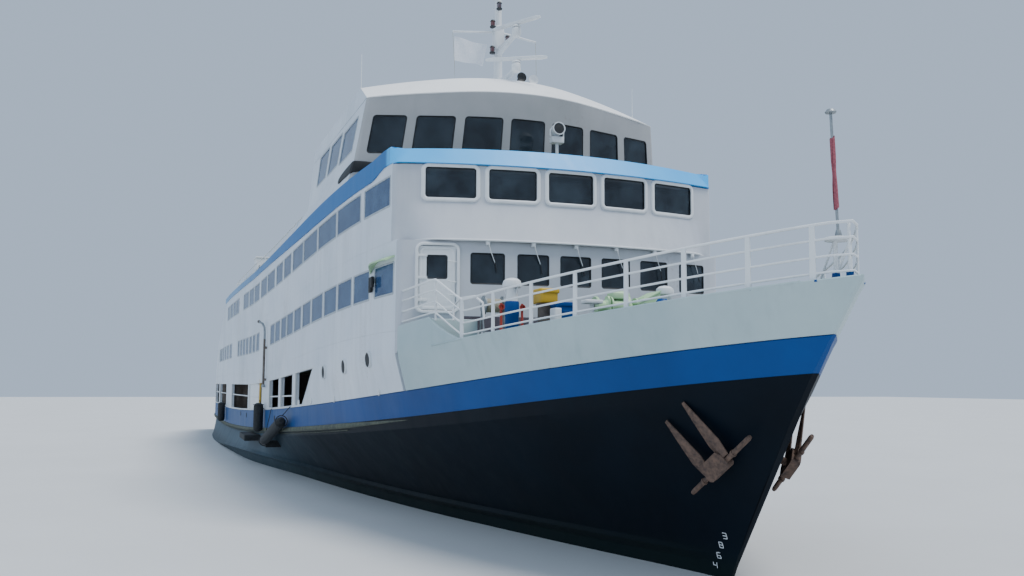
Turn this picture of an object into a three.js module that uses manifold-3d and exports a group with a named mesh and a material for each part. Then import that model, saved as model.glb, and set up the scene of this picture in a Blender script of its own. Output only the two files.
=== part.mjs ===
// Three-deck passenger ferry, a 1:2 scale model of a ship about 64 m long.
// Sizes are the real ship's metres; modelScale turns them into millimetres of the model.
// +X is forward, +Y is port, +Z is up; the origin is on the waterline, amidships, on the centreline.
import * as THREE from 'three';
import { mergeVertices } from 'three/addons/utils/BufferGeometryUtils.js';
import Module from 'manifold-3d';

const wasm = await Module();
wasm.setup();

const modelScale = 500;
const gap = 0.003; // between pieces that are welded or bolted together
const innerGap = 0.02; // between a wall and the glass or deck inside it

// Driving dimensions of the ship
const stern = -32;
const stemAtWater = 28.3;
const stemHead = 32;
const wallThickness = 0.14;
const deckThickness = 0.12;
const glassThickness = 0.03;
const glassLap = 0.09; // how far a sheet of glass reaches past the windows it closes

// Heights amidships above the water, before the sheer is added
const strakeBottom = 1.26;
const strakeHeight = 0.83;
const strakeTop = 2.09;
const platingAboveStrake = 0.9;
const deckTwo = 4.0;
const deckThree = 6.25;
const roofDeck = 7.95;
const sillTwo = 4.8;
const headTwo = 5.6;
const sillThree = 7.04;
const headThree = 7.82;
const bandBottom = 7.93;
const bandTop = 8.48;

// Colours: hex, roughness, metalness
const paint = {
  hullBlack: [0x0b1c22, 0.45, 0],
  strakeBlue: [0x0b4f94, 0.45, 0],
  bowGrey: [0xb9cfd2, 0.5, 0],
  white: [0xe6ebee, 0.5, 0],
  skyBlue: [0x6db9ee, 0.45, 0],
  deckGrey: [0x4a4f52, 0.8, 0],
  glass: [0x1b2833, 0.08, 0],
  rail: [0xf0f3f4, 0.45, 0],
  rust: [0x5a4238, 0.85, 0],
  rubber: [0x15171a, 0.8, 0],
  steel: [0x8b9195, 0.5, 0.6],
  green: [0xbfe2b4, 0.5, 0],
  bronze: [0x9a7440, 0.35, 0.9],
  red: [0xb3202a, 0.8, 0],
  flagWhite: [0xe4e8ec, 0.9, 0],
  yellow: [0xe3bb2c, 0.6, 0],
};

const object = new THREE.Group();

// Solids

function solidOf(geometry) {
  const bare = geometry.index ? geometry.clone() : geometry;
  bare.deleteAttribute('normal');
  bare.deleteAttribute('uv');
  const merged = mergeVertices(bare, 1e-5);
  return new wasm.Manifold(new wasm.Mesh({
    numProp: 3,
    vertProperties: new Float32Array(merged.attributes.position.array),
    triVerts: new Uint32Array(merged.index.array),
  }));
}

function join(first, ...others) {
  return others.reduce((sum, other) => sum.add(other), first);
}

function cut(first, ...others) {
  return others.reduce((rest, other) => rest.subtract(other), first);
}

// Rings of equal length, carried one after another, closed by a flat cap at each end
function loft(rings) {
  const count = rings[0].length;
  const positions = rings.flat(2);
  const index = [];
  for (let i = 0; i < rings.length - 1; i += 1) {
    for (let j = 0; j < count; j += 1) {
      const a = i * count + j;
      const b = i * count + (j + 1) % count;
      index.push(a, b, b + count, a, b + count, a + count);
    }
  }
  const flat = capOutline(rings[0]);
  for (const [a, b, c] of THREE.ShapeUtils.triangulateShape(flat, [])) {
    index.push(a, c, b);
  }
  const last = (rings.length - 1) * count;
  for (const [a, b, c] of THREE.ShapeUtils.triangulateShape(capOutline(rings.at(-1)), [])) {
    index.push(last + a, last + b, last + c);
  }
  const geometry = new THREE.BufferGeometry();
  geometry.setAttribute('position', new THREE.Float32BufferAttribute(positions, 3));
  geometry.setIndex(orient(positions, index));
  return solidOf(geometry);
}

// A ring seen along its own normal, counter-clockwise as it was given
function capOutline(ring) {
  const normal = new THREE.Vector3();
  const points = ring.map((p) => new THREE.Vector3(...p));
  points.forEach((p, i) => {
    const q = points[(i + 1) % points.length];
    normal.x += (p.y - q.y) * (p.z + q.z);
    normal.y += (p.z - q.z) * (p.x + q.x);
    normal.z += (p.x - q.x) * (p.y + q.y);
  });
  normal.normalize();
  const across = new THREE.Vector3(0, 0, 1).cross(normal);
  if (across.length() < 0.1) {
    across.set(1, 0, 0).cross(normal);
  }
  across.normalize();
  const up = normal.clone().cross(across);
  return points.map((p) => new THREE.Vector2(p.dot(across), p.dot(up)));
}

// Triangles turned so that the closed surface faces outwards
function orient(positions, index) {
  let volume = 0;
  const corner = (i) => new THREE.Vector3().fromArray(positions, index[i] * 3);
  for (let i = 0; i < index.length; i += 3) {
    volume += corner(i).dot(corner(i + 1).cross(corner(i + 2)));
  }
  if (volume > 0) {
    return index;
  }
  const turned = [];
  for (let i = 0; i < index.length; i += 3) {
    turned.push(index[i], index[i + 2], index[i + 1]);
  }
  return turned;
}

function box(x0, x1, y0, y1, z0, z1) {
  const geometry = new THREE.BoxGeometry(x1 - x0, y1 - y0, z1 - z0);
  geometry.translate((x0 + x1) / 2, (y0 + y1) / 2, (z0 + z1) / 2);
  return solidOf(geometry);
}

// A round bar from one point to another; radiusEnd makes it taper
function rod(start, end, radius, sides = 8, radiusEnd = radius) {
  const from = new THREE.Vector3(...start);
  const along = new THREE.Vector3(...end).sub(from);
  const geometry = new THREE.CylinderGeometry(radiusEnd, radius, along.length(), sides);
  geometry.translate(0, along.length() / 2, 0);
  const up = new THREE.Vector3(0, 1, 0);
  geometry.applyQuaternion(new THREE.Quaternion().setFromUnitVectors(up, along.normalize()));
  geometry.translate(from.x, from.y, from.z);
  return solidOf(geometry);
}

// A bar of many-sided section through a list of points
function bar(points, radius, sides = 5) {
  const path = points.map((p) => new THREE.Vector3(...p));
  return loft(path.map((p, i) => {
    const before = path[Math.max(0, i - 1)];
    const after = path[Math.min(path.length - 1, i + 1)];
    const along = after.clone().sub(before).normalize();
    const aside = new THREE.Vector3(0, 0, 1).cross(along);
    if (aside.length() < 0.05) {
      aside.set(0, 1, 0);
    }
    aside.normalize();
    const up = along.clone().cross(aside);
    return steps(0, 2 * Math.PI, sides).slice(0, sides).map((angle) => {
      const around = aside.clone().multiplyScalar(Math.cos(angle) * radius);
      around.addScaledVector(up, Math.sin(angle) * radius).add(p);
      return around.toArray();
    });
  }));
}

// A shape turned about the vertical line through (x, y); profile is radius and height pairs
function turned(x, y, profile, sides = 12) {
  const points = profile.map(([r, z]) => new THREE.Vector2(r, z));
  const geometry = new THREE.LatheGeometry(points, sides);
  geometry.rotateX(Math.PI / 2);
  geometry.translate(x, y, 0);
  geometry.setIndex(orient(geometry.attributes.position.array, Array.from(geometry.index.array)));
  return solidOf(geometry);
}

function place(name, solid, [colour, roughness, metalness]) {
  const mesh = solid.getMesh();
  const geometry = new THREE.BufferGeometry();
  const vertices = Float32Array.from(mesh.vertProperties, (value) => value * modelScale);
  geometry.setAttribute('position', new THREE.BufferAttribute(vertices, 3));
  geometry.setIndex(new THREE.BufferAttribute(mesh.triVerts, 1));
  geometry.computeVertexNormals();
  const material = new THREE.MeshStandardMaterial({ color: colour, roughness, metalness });
  const piece = new THREE.Mesh(geometry, material);
  piece.name = name;
  object.add(piece);
}

// Curves of the ship

// Smooth curve through a table of [x, value] rows, x rising
function curve(table, x) {
  const last = table.length - 1;
  if (x <= table[0][0]) {
    return table[0][1];
  }
  if (x >= table[last][0]) {
    return table[last][1];
  }
  const i = table.findIndex((row) => row[0] > x) - 1;
  const slope = (k) => {
    const a = table[Math.max(0, k - 1)];
    const b = table[Math.min(last, k + 1)];
    return (b[1] - a[1]) / (b[0] - a[0]);
  };
  const [x0, y0] = table[i];
  const [x1, y1] = table[i + 1];
  const h = x1 - x0;
  const t = (x - x0) / h;
  const t2 = t * t;
  const t3 = t2 * t;
  return (2 * t3 - 3 * t2 + 1) * y0 + (t3 - 2 * t2 + t) * h * slope(i)
    + (3 * t2 - 2 * t3) * y1 + (t3 - t2) * h * slope(i + 1);
}

// x, half breadth of the ship's side above the strake
const sideTable = [
  [-32, 6.2], [-29, 6.4], [-24, 6.5], [-14.5, 6.5], [-8.5, 6.36], [-1.5, 6.1], [3.5, 5.86], [9.5, 5.5],
  [13.5, 5.24], [16.5, 4.99], [19, 4.71], [20.8, 4.46], [23.5, 3.9], [26.5, 3.0], [29.5, 1.7], [31.2, 0.68],
  [32, 0.03],
];
const sideHalf = (x) => curve(sideTable, x);

const houseSheer = (x) => 0.87 * THREE.MathUtils.smoothstep(x, -3, 21);
const hullSheer = (x) => 0.00103 * Math.max(0, x + 13.5) ** 2;
const strakeTopAt = (x) => strakeTop + hullSheer(x);
const strakeBottomAt = (x) => strakeTopAt(x) - strakeHeight + 0.0062 * Math.max(0, x + 13.5);
const platingTopAt = (x) => strakeTopAt(x) + platingAboveStrake;

// Numbers from first to last in equal steps, both ends included
function steps(first, last, count) {
  return Array.from({ length: count + 1 }, (_, i) => first + (last - first) * i / count);
}

// Hull

// x, keel height, half breadth of the floor, just under the spray ledge, at the ledge, height of the ledge
const hullTable = [
  [-32, -0.45, 4.4, 6.0, 6.15, -0.1],
  [-28, -0.7, 4.5, 6.4, 6.6, -0.08],
  [-22, -1.35, 4.7, 6.65, 6.85, -0.03],
  [-15, -2.2, 5.0, 6.7, 6.83, 0.06],
  [-8, -2.5, 5.0, 6.5, 6.65, 0.3],
  [-2, -2.5, 4.6, 6.15, 6.36, 0.46],
  [2, -2.5, 4.1, 5.6, 5.85, 0.47],
  [6, -2.5, 3.5, 4.9, 5.02, 0.42],
  [10, -2.5, 2.8, 4.3, 4.4, 0.4],
  [14, -2.5, 2.1, 3.62, 3.8, 0.4],
  [18, -2.5, 1.35, 2.8, 3.0, 0.4],
  [21, -2.4, 0.85, 2.05, 2.25, 0.4],
  [24, -2.2, 0.4, 1.25, 1.4, 0.4],
  [26.5, -1.9, 0.12, 0.52, 0.62, 0.4],
  [28.3, -1.45, 0.03, 0.03, 0.04, 0.4],
];
const hullColumn = (column) => hullTable.map((row) => [row[0], row[column]]);
const keelAt = (x) => curve(hullColumn(1), x);

// How far each height of the stem stands ahead of the stem at the water
function stemReach(z) {
  return z >= 0 ? 0.6 * z + 0.0256 * z * z : 0.55 * z;
}

const stemAt = (z) => Math.min(stemHead, stemAtWater + stemReach(z));
const bowShare = (x, z) => THREE.MathUtils.clamp((x - 8) / (stemAt(z) - 8), 0, 1);

// Half breadth of the shell at a position and height: full at the plating's top, drawn in below it
function shellHalf(x, z) {
  const head = platingTopAt(x);
  const drop = THREE.MathUtils.clamp((head - z) / (head - strakeBottomAt(x)), 0, 1);
  const flare = 0.14 * drop * THREE.MathUtils.clamp((x - 10) / 20, 0, 1);
  const push = Math.max(0, stemAt(head) - stemAt(z));
  return sideHalf(x + push * bowShare(x, z) ** 2) * (1 - flare);
}

// A station leans forward towards the stem: its position at height z
function lean(x, z) {
  const share = THREE.MathUtils.clamp((x - 8) / (stemAtWater - 8), 0, 1);
  return x + stemReach(z) * share * share;
}

// Where a station meets an edge whose height varies along the ship: position and height
function meet(x, heightOf) {
  let z = heightOf(x);
  for (let i = 0; i < 6; i += 1) {
    z = heightOf(Math.min(stemHead, lean(x, z)));
  }
  return [Math.min(stemHead, lean(x, z)), z];
}

const hullStations = [
  ...steps(stern, 8, 20), 10, 12, 14, 16, 17.5, 19, 20.5, 21.8, 23, 24.2, 25.2, 26.2, 27, 27.7, stemAtWater,
];

// One station's ring: right round from the port edge over the keel to the starboard edge
function hullRing(x) {
  const keel = keelAt(x);
  const ledge = curve(hullColumn(5), x);
  const [footX, foot] = meet(x, strakeBottomAt);
  const half = [
    [curve(hullColumn(2), x), keel],
    [curve(hullColumn(3), x) * 0.93, keel * 0.55 + ledge * 0.45],
    [curve(hullColumn(3), x), ledge - 0.15],
    [curve(hullColumn(4), x), ledge],
    [curve(hullColumn(4), x) * 0.985, ledge + 0.1],
    [shellHalf(footX, foot) * 0.985, foot - 0.28],
    [shellHalf(footX, foot), foot],
  ];
  const port = half.map(([y, z]) => [lean(x, z), y, z]);
  const starboard = half.map(([y, z]) => [lean(x, z), -y, z]);
  return [...port.reverse(), [lean(x, keel), 0, keel - 0.02], ...starboard];
}

// Stern gear: where the propellers and rudders stand
const shaft = { y: 2.4, z: -1.6, propellerX: -28.3, exitX: -17.5, radius: 0.1, strutX: -27.5 };
const rudderX = -30.1;

// A propeller shaft with its strut, fixed to the hull
function shaftLine(side) {
  const y = side * shaft.y;
  const line = rod([shaft.exitX, y, shaft.z], [shaft.propellerX + 0.2, y, shaft.z], shaft.radius);
  const barrel = rod([shaft.strutX + 0.3, y, shaft.z], [shaft.strutX - 0.3, y, shaft.z], 0.17);
  const legs = [-0.9, 0.5].map((reach) => rod([shaft.strutX, y + reach, -0.6], [shaft.strutX, y, shaft.z], 0.07));
  return join(line, barrel, ...legs);
}

const keelBar = bar([[-14, 0, -2.42], [-8, 0, -2.56], [18, 0, -2.56], [23, 0, -2.4]], 0.14, 4);
place('hull', join(loft(hullStations.map((x) => hullRing(x))), shaftLine(-1), shaftLine(1), keelBar), paint.hullBlack);

// Stations every two metres between two positions
function stationsBetween(x0, x1) {
  const inner = steps(-32, 32, 32).filter((x) => x > x0 + 0.2 && x < x1 - 0.2);
  return [x0, ...inner, x1];
}

// A wall that follows the ship's side through edges at given heights, lowest first
function sideWall(side, x0, x1, edges, thickness = wallThickness, inset = 0) {
  return loft(stationsBetween(x0, x1).map((x) => {
    const rows = edges.map((edge) => [shellHalf(x, edge(x)) - inset, edge(x)]);
    const outer = rows.map(([y, z]) => [x, side * y, z]);
    const inner = rows.map(([y, z]) => [x, side * (y - thickness), z]);
    return [...outer, ...inner.reverse()];
  }));
}

// A deck that fills the space between the side walls
function deckPlate(x0, x1, top, thickness, inset) {
  return loft(stationsBetween(x0, x1).map((x) => {
    const z = top(x);
    const upper = shellHalf(x, z) - inset;
    const lower = shellHalf(x, z - thickness) - inset;
    return [[x, upper, z], [x, -upper, z], [x, -lower, z - thickness], [x, lower, z - thickness]];
  }));
}

const starboard = -1;
const port = 1;
const sides = [['starboard', starboard], ['port', port]];
const houseFront = 20.75;
const foreBulkhead = houseFront + gap;

const strakeFoot = (x) => strakeBottomAt(x) + gap;

// A closed piece of the bow between edges at given heights, lowest first
function bowPiece(edges) {
  return loft([18.2, ...hullStations.filter((x) => x > 18.5)].map((x) => {
    const rows = edges.map((edge) => meet(x, edge));
    const port = rows.map(([px, z]) => [px, shellHalf(px, z), z]);
    const starboard = rows.map(([px, z]) => [px, -shellHalf(px, z), z]);
    return [...port.reverse(), ...starboard];
  }));
}

const aftOfBow = box(-40, foreBulkhead, -8, 8, -5, 9);

// Blue strake: a bulwark beside the main deck, round the stern and along both sides, and a closed bow
const strakeSeams = { aft: -2.45, fore: 12.9 };
const bulwark = (side, from, to) => sideWall(side, from, to, [strakeFoot, strakeTopAt]);
const sternBulwark = box(stern + 0.2, stern + 0.34, -6.1, 6.1, strakeBottom + gap, strakeTop);
const bowStrake = cut(bowPiece([strakeFoot, strakeTopAt]), aftOfBow);
const aftBulwarks = [starboard, port].map((side) => bulwark(side, stern + 0.2, strakeSeams.aft - gap));
const foreBulwarks = [starboard, port].map((side) => bulwark(side, strakeSeams.fore, foreBulkhead + 0.1));
place('strake_stern', join(sternBulwark, ...aftBulwarks), paint.strakeBlue);
for (const [name, side] of sides) {
  place(`strake_${name}`, bulwark(side, strakeSeams.aft, strakeSeams.fore - gap), paint.strakeBlue);
}
place('strake_bow', join(bowStrake, ...foreBulwarks), paint.strakeBlue);

// Forecastle: flared plating with its deck, raised wings beside the house and a landing at the door
const forecastleMiddle = (x) => strakeTopAt(x) + platingAboveStrake / 2;
const wing = { aft: foreBulkhead, shoulder: 22.4, fore: 23.9, rise: 0.66, power: 1.35 };
function edgeTopAt(x) {
  const left = THREE.MathUtils.clamp((wing.fore - x) / (wing.fore - wing.shoulder), 0, 1);
  return platingTopAt(x) + wing.rise * left ** wing.power;
}
const bowPlating = cut(bowPiece([(x) => strakeTopAt(x) + gap, forecastleMiddle, platingTopAt]), aftOfBow);
const wingStations = [...steps(wing.aft, wing.shoulder, 3), ...steps(wing.shoulder, wing.fore, 8).slice(1)];
const wings = sides.map(([, side]) => loft(wingStations.map((x) => {
  const outer = side * (sideHalf(x) - 0.01);
  const inner = side * (sideHalf(x) - 0.09);
  const low = platingTopAt(x) - 0.05;
  return [[x, outer, low], [x, outer, edgeTopAt(x)], [x, inner, edgeTopAt(x)], [x, inner, low]];
})));
const landing = box(21.2, 22.4, -4.1, -2.95, 4.1, 4.95);
place('forecastle', join(bowPlating, ...wings, landing), paint.bowGrey);

// Side plating of the three decks, with the openings cut

// A cut through the side between two positions, from sill to head
function sideCut(side, x0, x1, low, high, slope = 0) {
  const reach = [sideHalf(x0) - 1.2, sideHalf(x0) + 1.2];
  const at = (x, shift) => [
    [x + shift, side * reach[0], low(x)],
    [x + shift, side * reach[1], low(x)],
    [x, side * reach[1], high(x)],
    [x, side * reach[0], high(x)],
  ];
  return loft([at(x0, 0), at(x1, slope)]);
}

// Openings in the main deck's side; slope is how far the foot stands aft of the head at the fore edge
const mainOpenings = [
  { aft: 9.5, fore: 12.45, slope: -1.7 },
  { aft: 6.6, fore: 9.0, slope: 0 },
  { aft: 3.9, fore: 6.2, slope: 0 },
  { aft: -2.3, fore: 2.0, slope: 0 },
  { aft: -10.4, fore: -2.6, slope: 0 },
  { aft: -20.6, fore: -13.8, slope: 0 },
  { aft: -28.6, fore: -21.4, slope: 0 },
];
const mainHeadAt = (x) => 3.4 + houseSheer(x) * 0.9;
const mainSillAt = (x) => strakeTopAt(x) + 0.06;

// Windows of the upper decks' sides, fore to aft; a row with a count repeats at its pitch
const windowsThree = [
  { fore: 20.05, width: 1.98 },
  { fore: 17.74, width: 2.4 },
  { fore: 15.12, width: 2.31 },
  { fore: 12.62, width: 2.15 },
  { fore: 10.27, width: 1.82 },
  { fore: 8.25, width: 1.6, count: 2, pitch: 1.82 },
  { fore: 4.57, width: 1.75, count: 5, pitch: 2.02 },
  { fore: -7.7, width: 1.55, count: 4, pitch: 1.76 },
];
const windowsTwo = [
  { fore: 20.45, width: 1.42 },
  { fore: 18.62, width: 1.42, count: 3, pitch: 1.6 },
  { fore: 13.75, width: 1.5 },
  { fore: 11.95, width: 1.36, count: 2, pitch: 1.62 },
  { fore: 8.82, width: 1.16, count: 4, pitch: 1.3 },
  { fore: 0.72, width: 0.9, count: 7, pitch: 1.27 },
  { fore: -11.0, width: 1.45, count: 6, pitch: 2.0 },
];

function windowSpans(rows) {
  return rows.flatMap(({ fore, width, count = 1, pitch = 0 }) => (
    Array.from({ length: count }, (_, i) => ({ aft: fore - i * pitch - width, fore: fore - i * pitch, slope: 0 }))
  ));
}

const aftEndMain = stern + 0.3;
const aftEndTwo = -30.4;
const aftEndThree = -24.4;
const aftEndRoof = -16.8;
const deckThreeFore = 20.4;
const windowRows = [
  { sill: mainSillAt, head: mainHeadAt, spans: mainOpenings },
  {
    glass: 'deck_two_glass',
    glassFore: 20.5,
    sill: (x) => sillTwo + houseSheer(x),
    head: (x) => headTwo + houseSheer(x),
    spans: windowSpans(windowsTwo),
  },
  {
    glass: 'deck_three_glass',
    glassFore: 20.12,
    sill: (x) => sillThree + houseSheer(x),
    head: (x) => headThree + houseSheer(x),
    spans: windowSpans(windowsThree),
  },
];

// A prism right across the ship, from its outline of positions and heights
function prism(outline, halfWidth = 9) {
  return loft([halfWidth, -halfWidth].map((y) => outline.map(([x, z]) => [x, y, z])));
}

// The aft edge of the plating steps and slants down from the roof to the stern: all behind it is open
const aftOutline = [
  [-17.0, 8.2], [-24.4, 6.25], [-29.2, 4.75], [aftEndTwo, 4.75], [aftEndTwo, 3.88], [-34, 3.88], [-34, 9], [-17.0, 9],
];
const noseNotch = box(deckThreeFore, 22, -8, 8, deckThree + houseSheer(houseFront) - deckThickness - gap, 10);

// Side plating: three welded panels on each side, from the strake up to the roof band
const seams = { aft: -12.875, fore: 2.68 };
const panels = [
  { name: 'side_aft', from: aftEndMain, to: seams.aft - gap, trim: prism(aftOutline) },
  { name: 'side_middle', from: seams.aft, to: seams.fore - gap },
  { name: 'side_fore', from: seams.fore, to: houseFront, trim: noseNotch },
];
// The roof band is deeper fore than aft, and rises a little more towards the front
const nose = (x, rise) => rise * THREE.MathUtils.smoothstep(x, 18.6, 19.8);
const bandFootAt = (x) => bandBottom + houseSheer(x) + 0.27 * (1 - THREE.MathUtils.smoothstep(x, 0, 15)) + nose(x, 0.18);
const bandTopAt = (x) => bandTop + houseSheer(x) + nose(x, 0.07);
const platingFoot = (x) => strakeTopAt(x) + gap;
const platingHead = (x) => bandFootAt(x) - gap;
for (const { name, from, to, trim } of panels) {
  for (const [sideName, side] of sides) {
    const cuts = windowRows.flatMap(({ spans, sill, head }) => (
      spans.filter(({ aft, fore }) => aft > from && fore < to)
        .map(({ aft, fore, slope }) => sideCut(side, aft, fore, sill, head, slope))
    ));
    const wall = sideWall(side, from, to, [platingFoot, platingTopAt, platingHead]);
    place(`${name}_${sideName}`, cut(wall, ...cuts, ...(trim ? [trim] : [])), paint.white);
  }
}

// Glass: one sheet behind each row of windows
for (const { glass, glassFore, spans, sill, head } of windowRows.filter((row) => row.glass)) {
  for (const [sideName, side] of sides) {
    const low = (x) => sill(x) - glassLap;
    const high = (x) => head(x) + glassLap;
    const aft = spans.at(-1).aft - 2 * glassLap;
    const sheet = sideWall(side, aft, glassFore, [low, high], glassThickness, wallThickness + innerGap);
    place(`${glass}_${sideName}`, sheet, paint.glass);
  }
}

// Decks
const deckInset = wallThickness + glassThickness + 2 * innerGap;
const deckTwoAt = (x) => deckTwo + houseSheer(x);
const deckThreeAt = (x) => deckThree + houseSheer(x);
const roofDeckAt = (x) => roofDeck + houseSheer(x);

// A rail across the aft end of a deck, standing on it, between the side plates
function sternRail(x, z, half) {
  const bars = [0.4, 0.75, 1.1].map((rise) => rod([x, -half, z + rise], [x, half, z + rise], 0.03, 6));
  const posts = steps(-half, half, 8).map((y) => box(x - 0.035, x + 0.035, y - 0.035, y + 0.035, z - 0.03, z + 1.13));
  return [...bars, ...posts];
}

const plateTwo = deckPlate(aftEndTwo, 20.45, deckTwoAt, deckThickness, deckInset);
const plateThree = deckPlate(aftEndThree, 20.1, deckThreeAt, deckThickness, deckInset);
place('deck_two', join(plateTwo, ...sternRail(aftEndTwo + 0.15, deckTwo, 5.9)), paint.deckGrey);
place('deck_three', join(plateThree, ...sternRail(aftEndThree + 0.15, deckThree, 6.1)), paint.deckGrey);

// The roof deck, with two vent casings welded on beside its edge
const casing = { aft: -10.6, fore: -9.4, inner: 4.75, outer: 5.45, top: 10.2 };
const ventCasings = sides.map(([, side]) => {
  const y = [side * casing.inner, side * casing.outer].sort((a, b) => a - b);
  return box(casing.aft, casing.fore, ...y, roofDeck - deckThickness / 2, casing.top);
});
const roofPlate = deckPlate(aftEndRoof, 20.1, roofDeckAt, deckThickness, deckInset);
place('roof_deck', join(roofPlate, ...ventCasings), paint.deckGrey);

// Fronts: walls that bow forward in plan

// A wall across the ship between two positions, whose plan is x = crown - bulge * y * y
function frontPanel(y0, y1, crown, bulge, low, high, thickness) {
  return loft(steps(y0, y1, Math.max(2, Math.round((y1 - y0) / 0.75))).map((y) => {
    const x = crown - bulge * y * y;
    return [[x, y, low(x)], [x, y, high], [x - thickness, y, high], [x - thickness, y, low(x)]];
  }));
}

const frontTwo = { crown: 21.3, bulge: 0.029, half: 4.3, head: 6.98, sill: 5.91, windowHead: 6.7, glassHalf: 2.95 };
const frontThree = { crown: 21.0, bulge: 0.034, half: 4.38, foot: 7.01, head: 8.94, sill: 8.1, windowHead: 8.9 };

// Cuts through a front: spans across the ship, each also on the other side unless it crosses the middle
function frontCuts(rows, low, high) {
  const spans = rows.flatMap(([y0, y1]) => (y0 < 0 ? [[y0, y1]] : [[y0, y1], [-y1, -y0]]));
  return spans.map(([y0, y1]) => box(14, 24, y0, y1, low, high));
}

// The sheet of glass behind a front's windows
function frontGlass({ crown, bulge, sill, windowHead }, half, lap = glassLap) {
  const low = () => sill - lap;
  return frontPanel(-half, half, crown - wallThickness - innerGap, bulge, low, windowHead + lap, glassThickness);
}

const frontTwoWindows = [[-0.43, 0.43], [0.72, 1.56], [1.87, 2.74]];
const frontTwoSideWindow = [3.12, 3.98];
const door = { y0: -4.0, y1: -3.08, low: 5.25, high: 6.85 };
const frontTwoFoot = (x) => platingTopAt(x) + 0.01;
place('deck_two_front', cut(
  frontPanel(-frontTwo.half, frontTwo.half, frontTwo.crown, frontTwo.bulge, frontTwoFoot, frontTwo.head, wallThickness),
  ...frontCuts(frontTwoWindows, frontTwo.sill, frontTwo.windowHead),
  box(18, 22, ...frontTwoSideWindow, frontTwo.sill, frontTwo.windowHead),
  box(18, 22, door.y0, door.y1, door.low, door.high),
), paint.white);
place('deck_two_front_glass', frontGlass(frontTwo, frontTwo.glassHalf), paint.glass);

// Below its windows the deck three front slopes forward to a brow over the front below; the slope fades
// out towards the corners of the house
const brow = { reach: 0.42, top: 8.02, fadeFrom: 3.7 };
const browAt = (y) => brow.reach * (1 - THREE.MathUtils.smoothstep(Math.abs(y), brow.fadeFrom, frontThree.half));
const frontThreeWindows = [[-0.64, 0.64], [0.93, 2.21], [2.5, 3.79]];
const frontThreeWall = loft(steps(-frontThree.half, frontThree.half, 20).map((y) => {
  const x = frontThree.crown - frontThree.bulge * y * y;
  const outer = [[x + browAt(y), y, frontThree.foot], [x, y, brow.top], [x, y, frontThree.head]];
  return [...outer, ...outer.map(([px, py, pz]) => [px - wallThickness, py, pz]).reverse()];
}));
place('deck_three_front', cut(
  frontThreeWall,
  ...frontCuts(frontThreeWindows, frontThree.sill, frontThree.windowHead),
), paint.white);
place('deck_three_front_glass', frontGlass(frontThree, 3.95, 0.03), paint.glass);

// Aft bulkheads with a doorway each
const doorWidth = 0.9;
const doorHeight = 1.85;
function aftWall(x, low, high, half) {
  const wall = box(x, x + wallThickness, -half, half, low, high);
  const way = box(x - 1, x + 1, -doorWidth / 2, doorWidth / 2, low + 0.15, low + 0.15 + doorHeight);
  return cut(wall, way);
}
const aftWallTwo = -24.2;
const aftWallThree = -16.6;
place('deck_two_aft', aftWall(aftWallTwo, deckTwo + gap, deckThree - deckThickness - gap, 6.25), paint.white);
place('deck_three_aft', aftWall(aftWallThree, deckThree + gap, roofDeck - deckThickness - gap, 6.25), paint.white);

// Sky-blue band round the roof's edge: upright along both sides, sloping back across the front
const bandSide = stationsBetween(aftEndRoof, 19.9).map((x) => [x, sideHalf(x)]);
const bandSlope = { side: 0, front: 0.3 };
const bandPath = [
  ...bandSide.map(([x, y]) => [x, -y, bandSlope.side]),
  ...steps(-4.44, 4.44, 10).map((y) => [21.08 - 0.034 * y * y, y, bandSlope.front]),
  ...bandSide.reverse().map(([x, y]) => [x, y, bandSlope.side]),
];
const bandRings = bandPath.map(([x, y, slope], i) => {
  const [px, py] = bandPath[Math.max(0, i - 1)];
  const [qx, qy] = bandPath[Math.min(bandPath.length - 1, i + 1)];
  const length = Math.hypot(qx - px, qy - py);
  const inX = -(qy - py) / length;
  const inY = (qx - px) / length;
  const z0 = bandFootAt(x);
  const z1 = bandTopAt(x);
  const at = (depth, z) => [x + inX * depth, y + inY * depth, z];
  return [at(-0.02, z0), at(slope, z1), at(slope + 0.12, z1), at(0.12, z0)];
});
place('roof_band', loft(bandRings), paint.skyBlue);

// Wheelhouse. Its front bows forward and leans out towards the top. Its sides stand on the roof band, flare in
// to the knuckle and lean in a little above it
const wheel = {
  crown: 17.78, bulge: 0.0775, straightFrom: 2.0, rake: 0.14, level: 10.6,
  half: 4.73, aftHalf: 4.9, leanFore: 0.15, leanAft: 0.1,
  knuckle: 9.9, back: 7.6, corner: 16.6, floor: 8.78, sill: 10.06, head: 11.16,
};
const eave = { side: 11.65, camber: 0.24 };
const roofTop = { side: 12.33, camber: 0.42, slope: 1.5, pad: 12.79 };
const wheelShare = (x) => (wheel.corner - x) / (wheel.corner - wheel.back);

// Half breadth of the wheelhouse's side above the knuckle
function wheelHalfAt(x, z) {
  const t = wheelShare(x);
  const lean = wheel.leanFore + (wheel.leanAft - wheel.leanFore) * t;
  return wheel.half + (wheel.aftHalf - wheel.half) * t - lean * (z - wheel.level);
}

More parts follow.
